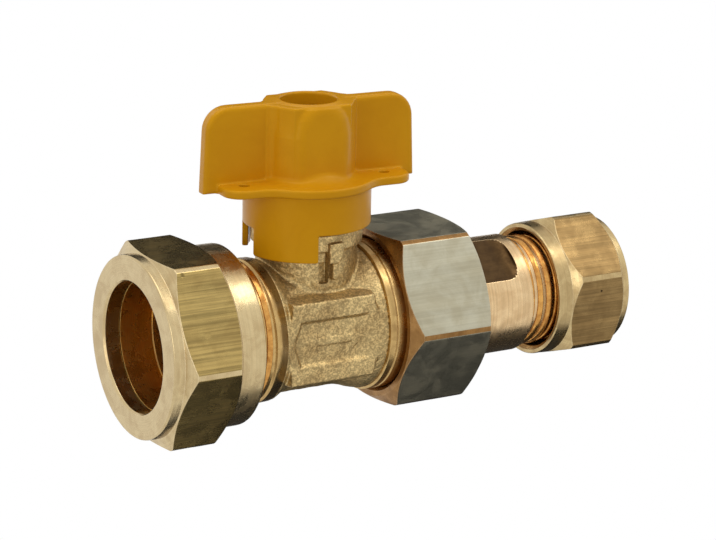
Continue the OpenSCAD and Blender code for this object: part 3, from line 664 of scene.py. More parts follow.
def smooth_min(first: np.ndarray, second: np.ndarray, reach: float) -> np.ndarray:
    """Join two forms with a hollow fillet of about the given reach."""
    near = np.maximum(reach - np.abs(first - second), 0) / reach
    return np.minimum(first, second) - near * near * reach / 4


def smooth_max(first: np.ndarray, second: np.ndarray, reach: float) -> np.ndarray:
    """Keep what two forms share, its edge rounded over about the given reach."""
    return -smooth_min(-first, -second, reach)


def between(value: np.ndarray, low: float, high: float) -> np.ndarray:
    """Return the distance outside a span."""
    return np.maximum(low - value, value - high)


def inside_polygon(u: np.ndarray, v: np.ndarray, corners: Sequence[tuple[float, float]]) -> np.ndarray:
    """Return the distance to a flat outline, negative inside it."""
    nearest = np.full(np.broadcast(u, v).shape, 1e9)
    sign = np.ones_like(nearest)
    for (x, y), (px, py) in zip(corners, [*corners[-1:], *corners[:-1]]):
        ex, ey = px - x, py - y
        wx, wy = u - x, v - y
        share = np.clip((wx * ex + wy * ey) / (ex * ex + ey * ey), 0, 1)
        nearest = np.minimum(nearest, (wx - ex * share) ** 2 + (wy - ey * share) ** 2)
        above, below, left = v >= y, v < py, ex * wy > ey * wx
        sign = np.where((above & below & left) | (~above & ~below & ~left), -sign, sign)
    return sign * np.sqrt(nearest)


def skin_of(form: Field, low: Place, high: Place, step: float) -> tuple[np.ndarray, np.ndarray, np.ndarray]:
    """Cover the zero surface of a form with faces of nearly even size.

    Args:
        form: Distance to the surface, negative inside.
        low: Lowest corner of the space that holds it.
        high: Highest corner.
        step: Size of a face.

    Returns:
        Points, faces and the normals at the points.
    """
    axes = [np.arange(a, b + step, step) for a, b in zip(low, high)]
    inside_value = form(*np.meshgrid(*axes, indexing="ij"))
    solid = inside_value < 0
    shape = np.array(solid.shape) - 1
    total = np.zeros(shape, int)
    for shift in product((0, 1), repeat=3):
        total += solid[tuple(slice(s, s + n) for s, n in zip(shift, shape))]
    cells = np.argwhere((total > 0) & (total < 8))
    number = np.full(shape, -1)
    number[tuple(cells.T)] = np.arange(len(cells))
    offsets = np.array(list(product((0, 1), repeat=3)))
    values = [inside_value[tuple((cells + o).T)] for o in offsets]
    place, count = np.zeros((len(cells), 3)), np.zeros(len(cells))
    for i, j in product(range(8), repeat=2):
        if j > i and np.abs(offsets[i] - offsets[j]).sum() == 1:
            crossed = (values[i] < 0) != (values[j] < 0)
            share = np.where(crossed, values[i] / np.where(crossed, values[i] - values[j], 1), 0)[:, None]
            place += np.where(crossed[:, None], offsets[i] + (offsets[j] - offsets[i]) * share, 0)
            count += crossed
    points = np.array(low) + (cells + place / count[:, None]) * step
    faces = []
    for axis in range(3):
        start = [slice(None)] * 3
        end = list(start)
        start[axis], end[axis] = slice(None, -1), slice(1, None)
        edges = np.argwhere(solid[tuple(start)] != solid[tuple(end)])
        others = [(axis + 1) % 3, (axis + 2) % 3]
        edges = edges[np.all([(edges[:, o] >= 1) & (edges[:, o] < shape[o]) for o in others], axis=0)]
        first, second = np.eye(3, dtype=int)[others]
        quad = np.stack([number[tuple((edges - o).T)] for o in (0 * first, first, first + second, second)],
                        axis=1)
        outward = solid[tuple(edges.T)]
        faces += [quad[outward], quad[~outward][:, ::-1]]

    def slope(spots: np.ndarray) -> np.ndarray:
        """Return the slope of the form at each spot."""
        reach = 0.02 * np.eye(3)
        return np.stack([(form(*(spots + r).T) - form(*(spots - r).T)) / 0.04 for r in reach], axis=1)

    for _ in range(4):
        steep = slope(points)
        points = points - steep * (form(*points.T) / np.maximum((steep ** 2).sum(axis=1), 0.05))[:,
                                                                                                 None] * 0.9
    return points, np.concatenate(faces), slope(points)


def turned_about_stem(points: np.ndarray, degrees: float) -> np.ndarray:
    """Return points or normals turned about the stem line."""
    c, s = math.cos(math.radians(degrees)), math.sin(math.radians(degrees))
    return points @ np.array([[c, s, 0], [-s, c, 0], [0, 0, 1]])


# Sub-assemblies


@dataclass
class Thread:
    """A right-hand thread, as a ridge that winds round the pipe line from one station to another.

    Attributes:
        root: Radius of the core that the ridge stands on.
        crest: Radius over the crests.
        start: Station of the first end of the ridge.
        length: Length of the ridge along the pipe line.
        turn: Angle at which it starts, in degrees.
    """

    name: str
    root: float
    crest: float
    start: float
    length: float
    turn: float
    foot: float = 0.95
    tip: float = 0.34

    def tree(self, material: bpy.types.Material) -> bpy.types.NodeTree:
        """Build the geometry nodes that wind the ridge."""
        tree = bpy.data.node_groups.new("thread_ridge", "GeometryNodeTree")
        sizes = {"Root": self.root, "Height": self.crest - self.root, "Pitch": PITCH, "Start": self.start,
                 "Length": self.length, "Turn": math.radians(self.turn), "Foot": self.foot, "Tip": self.tip}
        for key in sizes:
            tree.interface.new_socket(key, in_out="INPUT", socket_type="NodeSocketFloat")
        tree.interface.new_socket("Geometry", in_out="OUTPUT", socket_type="NodeSocketGeometry")
        graph = Graph(tree)
        at = graph.add("NodeGroupInput").outputs
        turns = graph.maths("DIVIDE", at["Length"], at["Pitch"])
        spiral = graph.add("GeometryNodeCurveSpiral", {"Resolution": 90, "Rotations": turns,
                                                       "Start Radius": at["Root"], "End Radius": at["Root"],
                                                       "Height": at["Length"]})
        share = graph.add("GeometryNodeSplineParameter").outputs["Factor"]
        ends = graph.maths("MINIMUM", graph.maths("MULTIPLY", share, 22.0),
                           graph.maths("MULTIPLY", graph.maths("SUBTRACT", 1.0, share), 22.0))
        taper = graph.maths("MAXIMUM", graph.maths("MINIMUM", ends, 1.0), 0.02)
        path = graph.add("GeometryNodeSetCurveRadius", {"Curve": spiral.outputs[0], "Radius": taper})
        path = graph.add("GeometryNodeSetCurveNormal", {"Curve": path.outputs[0]}, mode="Z_UP")
        section = graph.add("GeometryNodeCurvePrimitiveQuadrilateral", {"Height": at["Height"],
                                                                        "Bottom Width": at["Foot"],
                                                                        "Top Width": at["Tip"],
                                                                        "Offset": 0.0}, mode="TRAPEZOID")
        lift = graph.add("ShaderNodeCombineXYZ", {1: graph.maths("MULTIPLY", at["Height"], 0.5)})
        section = graph.add("GeometryNodeTransform", {"Geometry": section.outputs[0],
                                                      "Translation": lift.outputs[0]})
        section = graph.add("GeometryNodeFilletCurve", {"Curve": section.outputs[0], "Radius": 0.14,
                                                        "Count": 2}, mode="POLY")
        ridge = graph.add("GeometryNodeCurveToMesh", {"Curve": path.outputs[0],
                                                      "Profile Curve": section.outputs[0], "Scale": taper,
                                                      "Fill Caps": True})
        spin = graph.add("ShaderNodeCombineXYZ", {2: at["Turn"]})
        ridge = graph.add("GeometryNodeTransform", {"Geometry": ridge.outputs[0],
                                                    "Rotation": spin.outputs[0]})
        along = graph.add("ShaderNodeCombineXYZ", {0: graph.maths("ADD", at["Start"], STEM_X)})
        ridge = graph.add("GeometryNodeTransform", {"Geometry": ridge.outputs[0],
                                                    "Translation": along.outputs[0],
                                                    "Rotation": (0.0, math.pi / 2, 0.0)})
        ridge = graph.add("GeometryNodeTransform", {"Geometry": ridge.outputs[0], "Scale": (METRE, METRE,
                                                                                            METRE)})
        ridge = graph.add("GeometryNodeSetShadeSmooth", {"Geometry": ridge.outputs[0], "Shade Smooth": True})
        ridge = graph.add("GeometryNodeRealizeInstances", {"Geometry": ridge.outputs[0]})
        ridge = graph.add("GeometryNodeSetMaterial", {"Geometry": ridge.outputs[0], "Material": material})
        graph.add("NodeGroupOutput", {0: ridge.outputs[0]})
        self.sizes = sizes
        return tree

    def build(self, body: Body, slot: Slot, material: bpy.types.Material) -> bpy.types.Object:
        """Make the ridge a plain mesh and hang it on its body.

        Args:
            body: The body that it rides on.
            slot: A material slot name; not used.
            material: Its finish.

        Returns:
            The object.
        """
        holder = bpy.data.objects.new(f"{self.name}_path", bpy.data.meshes.new(f"{self.name}_path"))
        bpy.context.scene.collection.objects.link(holder)
        modifier = holder.modifiers.new("thread", "NODES")
        modifier.node_group = self.tree(material)
        for item in modifier.node_group.interface.items_tree:
            if item.in_out == "INPUT":
                modifier[item.identifier] = self.sizes[item.name]
        graph = bpy.context.evaluated_depsgraph_get()
        mesh = bpy.data.meshes.new_from_object(holder.evaluated_get(graph))
        bpy.data.objects.remove(holder)
        mesh.name = self.name
        piece = bpy.data.objects.new(self.name, mesh)
        bpy.context.scene.collection.objects.link(piece)
        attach(piece, body.value)
        LOG.info("%s: %d faces on %s", self.name, len(mesh.polygons), body.value)
        return piece


@dataclass
class InletNut:
    """The 22 mm compression nut and the olive inside it."""

    flats: float = 32.0
    raised: float = 27.9
    face: float = -33.2
    end: float = -16.0

    def build(self, finishes: dict[str, bpy.types.Material]) -> None:
        """Build and dress the nut and the olive."""
        nut = Nut("inlet_nut_dressed", Hexagon(self.flats, self.raised), (-31.245, -30.1, -22.05, -20.52),
                  (15.8, 15.7), before=[(self.face + 0.02, 11.5, 0.1), (self.face, 11.7, 0.15),
                                        (self.face, 15.75, 0.35), (-31.27, 15.8, 0.08)],
                  after=[(-20.5, 15.72, 0.1), (self.end, 15.7, 0.4), (self.end, 13.95, 0.15),
                         (self.end - 0.7, 13.27, 0.1), (-27.4, 13.27, 0.1), (-27.4, 12.6, 0.1),
                         (-28.7, 12.6, 0.1), (-30.3, 11.2, 0.1), (self.face + 0.4, 11.2, 0.2)],
                  dents=[Dent(-26.9, 20.0, 0.5, 0.22), Dent(-28.4, 41.0, 0.35, 0.1), Dent(-24.2, 8.0, 0.4,
                                                                                          0.08)])
        points, faces = nut.build()
        make_piece(nut.name, points, faces, Body.INLET_NUT, finishes["inlet_nut_turned"],
                   ["inlet_nut"], second=(finishes["inlet_nut"], nut.on_flats(points, faces)))
        olive = Turning([(-30.0, 11.19, 0.0), (-30.0, 11.34, 0.05), (-28.5, 12.3, 0.2), (-26.0, 12.38, 0.4),
                         (-24.0, 11.32, 0.05), (-24.0, 11.19, 0.0)])
        points, faces = olive.build()
        # The olive takes the bore brass, lifted with painted light.
        make_piece("inlet_olive_dressed", points, faces, Body.INLET_OLIVE, finishes["bore"],
                   ["inlet_olive"])


@dataclass
class UnionNut:
    """The hexagon nut that pulls the tailpiece to the body."""

    flats: float = 30.0
    raised: float = 28.8
    face: float = 12.3
    end: float = 27.95

    def build(self, finishes: dict[str, bpy.types.Material]) -> None:
        """Build and dress the nut."""
        hexagon = Hexagon(self.flats, self.raised)
        nut = Nut("union_nut_dressed", hexagon, (self.face, 13.87, 27.35, self.end),
                  (14.9, hexagon.corner - 1), before=[(self.face, 13.92, 0.1), (self.face, 14.82, 0.1)],
                  after=[(self.end, 14.6, 0.15), (self.end, 10.9, 0.2), (self.end - 0.4, 10.57, 0.1),
                         (23.42, 10.57, 0.0), (23.42, 13.27, 0.1), (13.0, 13.27, 0.1)],
                  dents=[Dent(18.0, 44.0, 0.4, 0.14), Dent(23.2, 33.0, 0.35, 0.12), Dent(20.5, 12.0, 0.3,
                                                                                         0.06)])
        points, faces = nut.build()
        make_piece(nut.name, points, faces, Body.UNION_NUT, finishes["union_nut_turned"],
                   ["union_nut"], second=(finishes["union_nut"], nut.on_flats(points, faces)))


@dataclass
class OutletNut:
    """The 15 mm compression nut."""

    flats: float = 24.0
    raised: float = -11.1
    start: float = 45.2
    face: float = 60.5

    def build(self, finishes: dict[str, bpy.types.Material]) -> None:
        """Build and dress the nut."""
        nut = Nut("outlet_nut_dressed", Hexagon(self.flats, self.raised), (48.02, 49.3, 57.7, 59.1),
                  (11.9, 11.75), before=[(self.start + 0.6, 10.55, 0.05), (self.start, 11.2, 0.1),
                                         (self.start, 11.88, 0.35), (48.0, 11.9, 0.08)],
                  after=[(59.12, 11.73, 0.1), (self.face, 11.72, 0.45), (self.face, 7.95, 0.15),
                         (self.face - 0.3, 7.62, 0.1), (57.7, 7.62, 0.1), (55.7, 9.0, 0.1),
                         (55.4, 10.55, 0.1)], dents=[Dent(52.5, 6.0, 0.3, 0.08), Dent(55.0, -24.0, 0.3,
                                                                                      0.07)])
        points, faces = nut.build()
        make_piece(nut.name, points, faces, Body.OUTLET_NUT, finishes["outlet_nut_turned"],
                   ["outlet_nut"], second=(finishes["outlet_nut"], nut.on_flats(points, faces)))


@dataclass
class Tailpiece:
    """The turned tail with its collar, spanner flats and outlet thread."""

    radius: float = 10.5
    flat: float = 9.3
    flat_raised: float = 57.0
    flat_end: float = 36.0
    runout: float = 2.5
    shoulder: float = 40.6
    end: float = 51.5
    thread_root: float = 9.53
    thread_crest: float = 10.48

    def build(self, finishes: dict[str, bpy.types.Material]) -> None:
        """Build and dress the tail and its thread."""
        half = math.degrees(math.acos(self.flat / self.radius))
        offsets = sorted([*np.linspace(-90, 90, 61)[:-1], *(s * (half + d) for s in (-1, 1) for d in
                                                            (-1.6, -0.9, -0.45, -0.15, 0.15, 0.45))])
        angles = np.radians(np.sort([self.flat_raised + o + k for k in (0, 180) for o in offsets]))
        off = (np.degrees(angles) - self.flat_raised + 90) % 180 - 90
        stations = [*np.linspace(24.2, self.flat_end - 0.1, 10), *np.linspace(self.flat_end,
                                                                              self.flat_end + self.runout,
                                                                              26),
                    *np.linspace(self.flat_end + self.runout + 0.1, self.shoulder - 0.3, 4)]
        columns = [(21.0, 12.2, 0.1), (21.4, 12.6, 0.1), (23.4, 12.6, 0.1), (23.4, self.radius, 0.0)]
        grown = [(x, self.radius, 0.0) for x in stations]
        rest = [(self.shoulder, self.radius, 0.12), (self.shoulder + 0.05, self.thread_root, 0.0),
                (self.end - 0.5, self.thread_root, 0.1), (self.end, self.thread_root - 0.3, 0.1),
                (self.end, 8.5, 0.1), (self.end - 1.4, 7.58, 0.1), (41.5, 7.58, 0.1), (41.5, 6.2, 0.1),
                (21.0, 6.2, 0.1)]
        corners = columns + grown + rest
        outline = np.repeat(np.array([[c[:2] for c in corners]], float), len(angles), axis=0)
        for i, x in enumerate(stations, len(columns)):
            rise = min(max((x - self.flat_end) / self.runout, 0.0), 1.0)
            level = self.flat + (self.radius - self.flat) * (1 - math.sqrt(1 - rise * rise))
            cut = np.where(np.abs(off) < 80, level / np.cos(np.radians(np.clip(off, -80, 80))), 99.0)
            outline[:, i, 1] = smooth_min(np.full(len(angles), self.radius), cut, 0.06)
        points, faces = spun(softened(outline, [c[2] for c in corners]), angles)
        middle = points[faces].mean(axis=1)
        turn = np.arctan2(middle[:, 2], -middle[:, 1]) - math.radians(self.flat_raised)
        level = np.hypot(middle[:, 1], middle[:, 2])
        # Faces on the milled flats, which get the darker brass of painted shade.
        milled = (level < self.radius - 0.02) & (np.abs(level * np.cos(turn)) > self.flat - 0.02)
        milled &= (middle[:, 0] > 24.0) & (middle[:, 0] < self.flat_end + self.runout)
        make_piece("tailpiece_dressed", points, faces, Body.TAIL, finishes["tail"],
                   ["tailpiece"], second=(finishes["milled"], milled))
        Thread("outlet_thread", self.thread_root - 0.05, self.thread_crest, self.shoulder - 0.1, 10.6,
               62.0).build(Body.TAIL, Slot.TURNED, finishes["thread"])


@dataclass
class ValveBody:
    """The casting with its machined ends, threads, pads, neck and stop lug."""

    barrel: float = 11.35
    neck: float = 8.75
    neck_top: float = 22.4
    neck_collar: float = 9.6
    collar_left: float = -12.2
    cast_left: float = -10.2
    cast_right: float = 9.4
    pad_face: float = 12.0
    recess: float = 0.75
    thread_root: float = 12.25
    thread_crest: float = 13.2
    fineness: float = 0.24

    def form(self, x: np.ndarray, y: np.ndarray, z: np.ndarray) -> np.ndarray:
        """Return the distance to the surface of the casting."""
        pipe, stem, side = np.hypot(y, z), np.hypot(x, y), np.abs(y)
        left = np.clip((-7.4 - x) / 2.8, 0, 1)
        right = np.clip((x - 3) / 6.3, 0, 1)
        size = self.barrel + 1.15 * left ** 2 * (3 - 2 * left) + 1.4 * right ** 2 * (3 - 2 * right)
        shape = (pipe - size) * 0.97
        neck = smooth_max(stem - self.neck, between(z, 0, self.neck_top), 0.5)
        collar = smooth_max(stem - self.neck_collar, between(z, 14.9, 18.0), 0.5)
        shape = smooth_min(shape, smooth_min(neck, collar, 0.5), 0.55)
        outline = inside_polygon(x, z, [(-8.9, 7.2), (6.9, 7.2), (8.8, 0), (6.9, -7.2), (-8.9, -7.2),
                                        (-9.8, 0)])
        pad = smooth_max(outline + 0.12 * (side - self.pad_face), side - self.pad_face, 0.55)
        pad = np.maximum(pad, 8.0 - side)
        sunk = inside_polygon(x, z, [(-7.5, 4.15), (5.95, 4.15), (8.1, 0), (5.95, -4.15), (-7.5, -4.15),
                                     (-9.0, 0)])
        floor = self.pad_face - self.recess
        pad = smooth_max(pad, -smooth_max(sunk + 0.9 * (self.pad_face - side), floor - side, 0.25), 0.22)
        arrow = inside_polygon(x, z, [(-6.3, 0), (-4.0, 2.0), (-4.0, 0.75), (2.8, 0.75), (2.8, 2.0),
                                      (5.1, 0), (2.8, -2.0), (2.8, -0.75), (-4.0, -0.75), (-4.0, -2.0)])
        raised = smooth_max(arrow + 0.5 * (side - floor), np.maximum(side - floor - 0.42,
                                                                     floor - 0.5 - side), 0.3)
        pad = smooth_min(pad, raised, 0.2)
        shape = smooth_min(shape, pad, 0.45)
        front = -y
        head = inside_polygon(x, z, [(-1.2, 13.0), (-1.2, 16.6), (1.6, 16.6), (1.6, 14.2), (0.65, 13.0)])
        head = smooth_max(head, between(front, 7.5, 10.5), 0.6)
        web = inside_polygon(x, z, [(-0.45, 10.3), (-0.45, 13.4), (0.65, 13.4), (0.65, 10.3), (0.1, 9.95)])
        web = smooth_max(web, between(front, 7.5, 10.25), 0.45)
        shape = smooth_min(shape, smooth_min(head, web, 0.3), 0.3)
        pocket = np.maximum(between(x, -2.1, -0.55), np.maximum(between(z, 9.3, 12.9), 7.5 - front))
        shape = smooth_max(shape, -pocket, 0.3)
        uneven = 0.035 * np.sin(1.9 * x + 0.7) * np.sin(2.3 * z + 1.1) * np.sin(2.1 * y + 0.3)
        shape = shape + uneven + 0.02 * np.sin(5.3 * x + 2.0 * y) * np.sin(4.7 * z - 3.1 * y)
        bores = np.minimum(np.maximum(pipe - 5.75, between(x, -12, -8)), np.maximum(pipe - 8.0,
                                                                                    between(x, -8.6, -6)))
        bores = np.minimum(bores, np.maximum(pipe - 9.4, between(x, -6.2, 6.5)))
        bores = np.minimum(bores, np.maximum(pipe - 10.2, between(x, 6.3, 11)))
        bores = np.minimum(bores, np.maximum(stem - 4.02, -z))
        bores = np.minimum(bores, np.maximum(stem - 5.6, between(z, 0, 11.6)))
        shape = smooth_max(shape, -bores, 0.12)
        return smooth_max(shape, between(x, self.cast_left, self.cast_right), 0.08)

    def build(self, finishes: dict[str, bpy.types.Material]) -> None:
        """Build and dress the casting, its two machined ends and their threads."""
        points, faces, normals = skin_of(self.form, (-10.9, -12.9, -13.6), (10.1, 12.9, 23.1), self.fineness)
        make_piece("body_casting", points, faces, Body.VALVE, finishes["cast"], ["valve_body"],
                   normals)
        inlet = Turning([(-25.4, 11.95, 0.1), (-24.9, 12.3, 0.1), (-24.5, self.thread_root, 0.1),
                         (-12.55, self.thread_root, 0.15), (self.collar_left, 12.6, 0.15),
                         (self.cast_left + 0.02, 12.5, 0.0), (self.cast_left + 0.02, 5.75, 0.0),
                         (-13.6, 5.75, 0.2), (-13.6, 11.15, 0.2), (-23.75, 11.15, 0.2), (-25.4, 11.8, 0.1)])
        points, faces = inlet.build()
        make_piece("body_inlet_end", points, faces, Body.VALVE, finishes["body"], ["valve_body"])
        union = Turning([(self.cast_right - 0.06, 12.7, 0.0), (9.55, 13.2, 0.15), (10.7, 13.2, 0.05),
                         (10.9, 12.95, 0.05), (11.1, 13.2, 0.05), (12.95, 13.2, 0.1),
                         (13.3, self.thread_root, 0.1), (18.9, self.thread_root, 0.1), (19.5, 11.8, 0.1),
                         (19.5, 10.8, 0.1), (18.9, 10.2, 0.1), (self.cast_right - 0.06, 10.2, 0.0)])
        points, faces = union.build()
        make_piece("body_union_end", points, faces, Body.VALVE, finishes["bead"], ["valve_body"])
        Thread("inlet_thread", self.thread_root - 0.05, self.thread_crest, -24.6, 12.3, 20.0).build(
            Body.VALVE, Slot.CAST, finishes["thread"])
        Thread("union_thread", self.thread_root - 0.05, self.thread_crest, 12.9, 6.2, 0.0).build(
            Body.VALVE, Slot.CAST, finishes["thread"])


@dataclass
class WingHandle:
    """The die-cast handle: wings, domed hub, flange, ears and skirt under a yellow coat."""

    rest_turn: float = -4.3
    reach: float = 19.75
    thickness: float = 2.9
    top: float = 39.5
    bottom: float = 24.7
    hub: float = 7.9
    hub_flat: float = 6.8
    hub_hole: float = 4.83
    hub_floor: float = 30.5
    flange: float = 11.6
    skirt: float = 11.0
    skirt_bore: float = 9.95
    fineness: float = 0.25

    def wing_outline(self) -> list[tuple[float, float]]:
        """Return the outline of both wings, seen from the front."""
        points = [(-self.reach, self.bottom), (self.reach, self.bottom)]
        centre = self.reach - 0.45 - 4.2
        points += [(centre + 4.2 * math.cos(a), self.top - 4.2 + 4.2 * math.sin(a))
                   for a in np.linspace(0, math.pi / 2, 9)]
        return points + [(-x, z) for x, z in points[:1:-1]]

    def form(self, x: np.ndarray, y: np.ndarray, z: np.ndarray) -> np.ndarray:
        """Return the distance to the surface of the handle, with its wings along X."""
        stem, left, side = np.hypot(x, y), np.abs(x), np.abs(y)
        wings = smooth_max(inside_polygon(x, z, self.wing_outline()), side - self.thickness / 2, 0.9)
        dome = [(0, 24.0), (7.9, 24.0), (7.9, 34.2), (7.7, 36.0), (7.5, 37.2), (7.2, 38.1), (6.8, 38.95),
                (6.2, 39.4), (5.4, 39.63), (0, 39.63)]
        round_hub = inside_polygon(stem, z, dome)
        hub = smooth_max(round_hub, side - self.hub_flat, 0.4)
        arc = 3.0 - np.hypot(left - 9.8, side - (self.thickness / 2 + 3))
        slant = (left - 6.947) * 0.816 + (side - 3.523) * 0.578
        hollow = np.maximum(np.maximum(arc, left - 9.8), np.maximum(slant, side - 5.9))
        hollow = smooth_max(hollow, np.maximum(round_hub - 2.1, between(z, 25, self.top - 0.12)), 0.5)
        upper = smooth_min(smooth_min(hub, wings, 0.25), hollow, 0.15)
        qx, qy = left - 13.9, side - 3.5
        ears = np.hypot(np.maximum(qx, 0), np.maximum(qy, 0)) + np.minimum(np.maximum(qx, qy), 0) - 3.4
        flange = smooth_max(smooth_min(stem - self.flange, ears, 2.0), between(z, self.bottom, 26.3), 0.55)
        cone = np.maximum((stem - 7.9) * 0.64 + (z - 26.9) * 0.77, between(z, 25.5, 27.8))
        flange = smooth_min(flange, cone, 0.8)
        upper = smooth_max(smooth_min(upper, flange, 0.5), self.bottom - z, 0.3)
        deck = np.maximum(stem - self.skirt + 0.5, between(z, 23.3, 25.2))
        wall = smooth_max(stem - self.skirt, self.skirt_bore - stem, 0.25)
        rows = between(z, 18.2, 24.8)
        angle = np.arctan2(y, x)
        for start, end in ((-170.7, -104.1), (9.3, 75.9), (138.3, 156.3)):
            middle, half = math.radians((start + end) / 2), math.radians((end - start) / 2)
            away = (np.abs((angle - middle + math.pi) % (2 * math.pi) - math.pi) - half) * np.minimum(stem,
                                                                                                      11)
            rows = smooth_min(rows, smooth_max(away, between(z, 13.5, 20.0), 0.4), 0.3)
        lower = smooth_min(smooth_max(wall, rows, 0.25), deck, 0.3)
        shape = smooth_min(upper, lower, 0.3)
        shape = smooth_max(shape, -np.maximum(stem - self.hub_hole, self.hub_floor - z), 0.45)
        square = np.maximum(np.maximum(left, side) - 2.8, z - 32)
        shape = np.maximum(shape, -square)
        holes = np.hypot(left - 13.1, side - 3.0) - 0.9
        holes = np.maximum(holes, z - 28)
        return smooth_max(shape, -holes, 0.25)

    def build(self, finishes: dict[str, bpy.types.Material]) -> None:
        """Build and dress the handle."""
        points, faces, normals = skin_of(self.form, (-20.3, -12.2, 12.9), (20.3, 12.2, 40.2), self.fineness)
        points, normals = (turned_about_stem(v, self.rest_turn) for v in (points, normals))
        make_piece("wing_handle", points, faces, Body.HANDLE, finishes["yellow"], ["handle"],
                   normals)


@dataclass
class InnerParts:
    """The pieces inside, which keep their CAD meshes and get their finishes."""

    finish_of: dict[str, str] = field(default_factory=lambda: {
        "seat_retainer": "bead", "retainer_ring": "rubber", "inlet_seat": "polymer", "outlet_seat": "polymer",
        "ball": "plating", "stem": "tail", "thrust_washer": "polymer", "lower_stem_ring": "rubber",
        "upper_stem_ring": "rubber", "handle_washer": "zinc", "handle_screw": "zinc", "union_gasket": "fibre",
        "outlet_olive": "bore"})

    def dress(self, finishes: dict[str, bpy.types.Material]) -> None:
        """Put each piece's finish on its material slots."""
        for node, finish in self.finish_of.items():
            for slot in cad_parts[node].material_slots:
                slot.material = finishes[finish]
            LOG.info("%s: dressed as %s", node, finish)


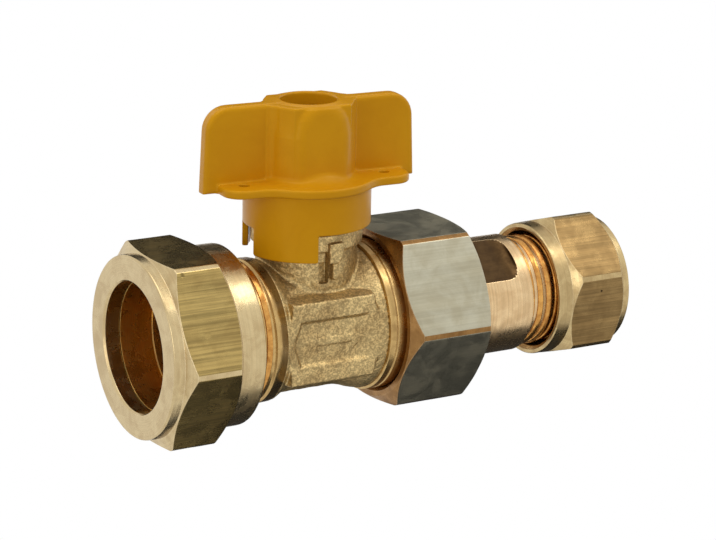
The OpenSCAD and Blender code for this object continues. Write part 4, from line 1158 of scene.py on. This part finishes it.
@dataclass
class Studio:
    """Camera, floor, backdrop and lamps."""

    target: Place = (0.02407, 0.0, 0.007931)
    eye: Place = (-0.22439, -0.41690, 0.14839)
    roll: float = 1.228
    lens: float = 145.98
    floor_level: float = -0.35

    def camera(self) -> None:
        """Set the camera where the photograph was taken from."""
        back = (Vector(self.eye) - Vector(self.target)).normalized()
        right = Vector((0, 0, 1)).cross(back).normalized()
        up = back.cross(right)
        c, s = math.cos(math.radians(self.roll)), math.sin(math.radians(self.roll))
        across, above = c * right + s * up, c * up - s * right
        turn = Matrix((across, above, back)).transposed().to_4x4()
        data = bpy.data.cameras.new("camera")
        data.lens, data.sensor_width, data.clip_start = self.lens, 36.0, 0.01
        camera = bpy.data.objects.new("camera", data)
        camera.matrix_world = Matrix.Translation(self.eye) @ turn
        bpy.context.scene.collection.objects.link(camera)
        bpy.context.scene.camera = camera

    def seen_white(self, graph: Graph) -> bpy.types.NodeSocket:
        """Return 1 for rays that see the background directly, in metal or through glass."""
        path = graph.add("ShaderNodeLightPath")
        return graph.maths("MAXIMUM", graph.maths("MAXIMUM", path.outputs["Is Camera Ray"],
                                                  path.outputs["Is Glossy Ray"]),
                           path.outputs["Is Transmission Ray"])

    def floor(self) -> None:
        """Lay the pale floor, far enough below for the valve on its pipe."""
        mesh = bpy.data.meshes.new("floor")
        size = 4.0
        mesh.from_pydata([(-size, -size, self.floor_level), (size, -size, self.floor_level),
                          (size, size, self.floor_level), (-size, size, self.floor_level)], [],
                         [(0, 1, 2, 3)])
        material = bpy.data.materials.new("pale_floor")
        material.use_nodes = True
        material.node_tree.nodes.clear()
        graph = Graph(material.node_tree)
        pale = graph.add("ShaderNodeBsdfDiffuse", {"Color": (0.8, 0.8, 0.8, 1.0)})
        white = graph.add("ShaderNodeEmission", {"Color": (1.0, 1.0, 1.0, 1.0), "Strength": 1.0})
        mixed = graph.add("ShaderNodeMixShader", {0: self.seen_white(graph), 1: pale.outputs[0],
                                                  2: white.outputs[0]})
        graph.add("ShaderNodeOutputMaterial", {"Surface": mixed.outputs[0]})
        mesh.materials.append(material)
        floor = bpy.data.objects.new("floor", mesh)
        bpy.context.scene.collection.objects.link(floor)

    def backdrop(self) -> None:
        """Set the world: soft light, and plain white where it is seen."""
        world = bpy.data.worlds.new("studio")
        world.use_nodes = True
        world.node_tree.nodes.clear()
        graph = Graph(world.node_tree)
        soft = graph.add("ShaderNodeBackground", {"Color": (1.0, 1.0, 1.0, 1.0), "Strength": 0.55})
        white = graph.add("ShaderNodeBackground", {"Color": (1.0, 1.0, 1.0, 1.0), "Strength": 1.0})
        mixed = graph.add("ShaderNodeMixShader", {0: self.seen_white(graph), 1: soft.outputs[0],
                                                  2: white.outputs[0]})
        graph.add("ShaderNodeOutputWorld", {"Surface": mixed.outputs[0]})
        bpy.context.scene.world = world

    def lamp(self, name: str, place: Place, size: tuple[float, float], brightness: float) -> None:
        """Hang a soft lamp that faces the valve.

        Args:
            name: Name of the lamp.
            place: Where it hangs, in metres.
            size: Its width and height, in metres.
            brightness: How bright its face is, where 1 is white.
        """
        data = bpy.data.lights.new(name, "AREA")
        data.shape, data.size, data.size_y = "RECTANGLE", *size
        data.energy = brightness * math.pi * size[0] * size[1]
        lamp = bpy.data.objects.new(name, data)
        lamp.location = place
        lamp.rotation_euler = (Vector(place) - Vector(self.target)).to_track_quat("Z", "Y").to_euler()
        bpy.context.scene.collection.objects.link(lamp)

    def card(self, name: str, place: Place, size: tuple[float, float], shade: float) -> None:
        """Stand a dark card beside the valve, to give the bare metal something dark to mirror.

        Args:
            name: Name of the card.
            place: Its middle, in metres.
            size: Its width and height, in metres.
            shade: Its plain grey.
        """
        half = (size[0] / 2, size[1] / 2)
        turn = (Vector(place) - Vector(self.target)).to_track_quat("Z", "Y").to_matrix().to_4x4()
        corners = [turn @ Vector((a * half[0], b * half[1], 0)) + Vector(place) for a, b in
                   ((-1, -1), (1, -1), (1, 1), (-1, 1))]
        mesh = bpy.data.meshes.new(name)
        mesh.from_pydata(corners, [], [(0, 1, 2, 3)])
        material = bpy.data.materials.new(name)
        material.use_nodes = True
        shader = material.node_tree.nodes["Principled BSDF"]
        shader.inputs["Base Color"].default_value = (shade, shade, shade, 1.0)
        shader.inputs["Roughness"].default_value = 0.9
        mesh.materials.append(material)
        card = bpy.data.objects.new(name, mesh)
        card.visible_camera = False
        card.visible_shadow = False
        bpy.context.scene.collection.objects.link(card)

    def build(self) -> None:
        """Set up the whole studio."""
        self.camera()
        self.floor()
        self.backdrop()
        self.lamp("front_softbox", (0.24, -0.15, 0.38), (0.2, 0.14), 3.0)
        self.lamp("overhead_softbox", (-0.06, -0.02, 0.44), (0.3, 0.3), 1.8)
        self.lamp("left_softbox", (-0.42, -0.2, 0.1), (0.25, 0.25), 1.4)
        self.card("right_back_card", (0.24, 0.36, 0.15), (0.42, 0.3), 0.03)
        self.card("low_card", (0.13, 0.04, -0.16), (0.3, 0.22), 0.04)
        bpy.context.scene.view_settings.view_transform = "Standard"


def main() -> None:
    """Build the studio, the finishes and every piece, in order."""
    logging.basicConfig(level=logging.INFO, format="%(message)s")
    Studio().build()
    effects = Effects()
    named = {"inlet_nut": INLET_FLATS, "inlet_nut_turned": INLET_TURNED, "union_nut": UNION_FLATS,
             "union_nut_turned": UNION_TURNED, "outlet_nut": OUTLET_FLATS,
             "outlet_nut_turned": OUTLET_TURNED, "tail": TAIL_BRASS, "milled": MILLED_PAINTED_SHADE,
             "thread": THREAD_BRASS, "body": BODY_BRASS, "bead": BODY_BRASS, "bore": BORE_BRASS_PAINTED_LIGHT,
             "cast": CAST_BRASS, "yellow": YELLOW, "zinc": ZINC, "plating": PLATING, "polymer": POLYMER,
             "rubber": RUBBER, "fibre": FIBRE}
    finishes = {key: finish.material(effects) for key, finish in named.items()}
    for part in (ValveBody(), WingHandle(), InletNut(), UnionNut(), Tailpiece(), OutletNut()):
        part.build(finishes)
        LOG.info("%s is done", type(part).__name__)
    InnerParts().dress(finishes)


if __name__ == "__main__":
    main()
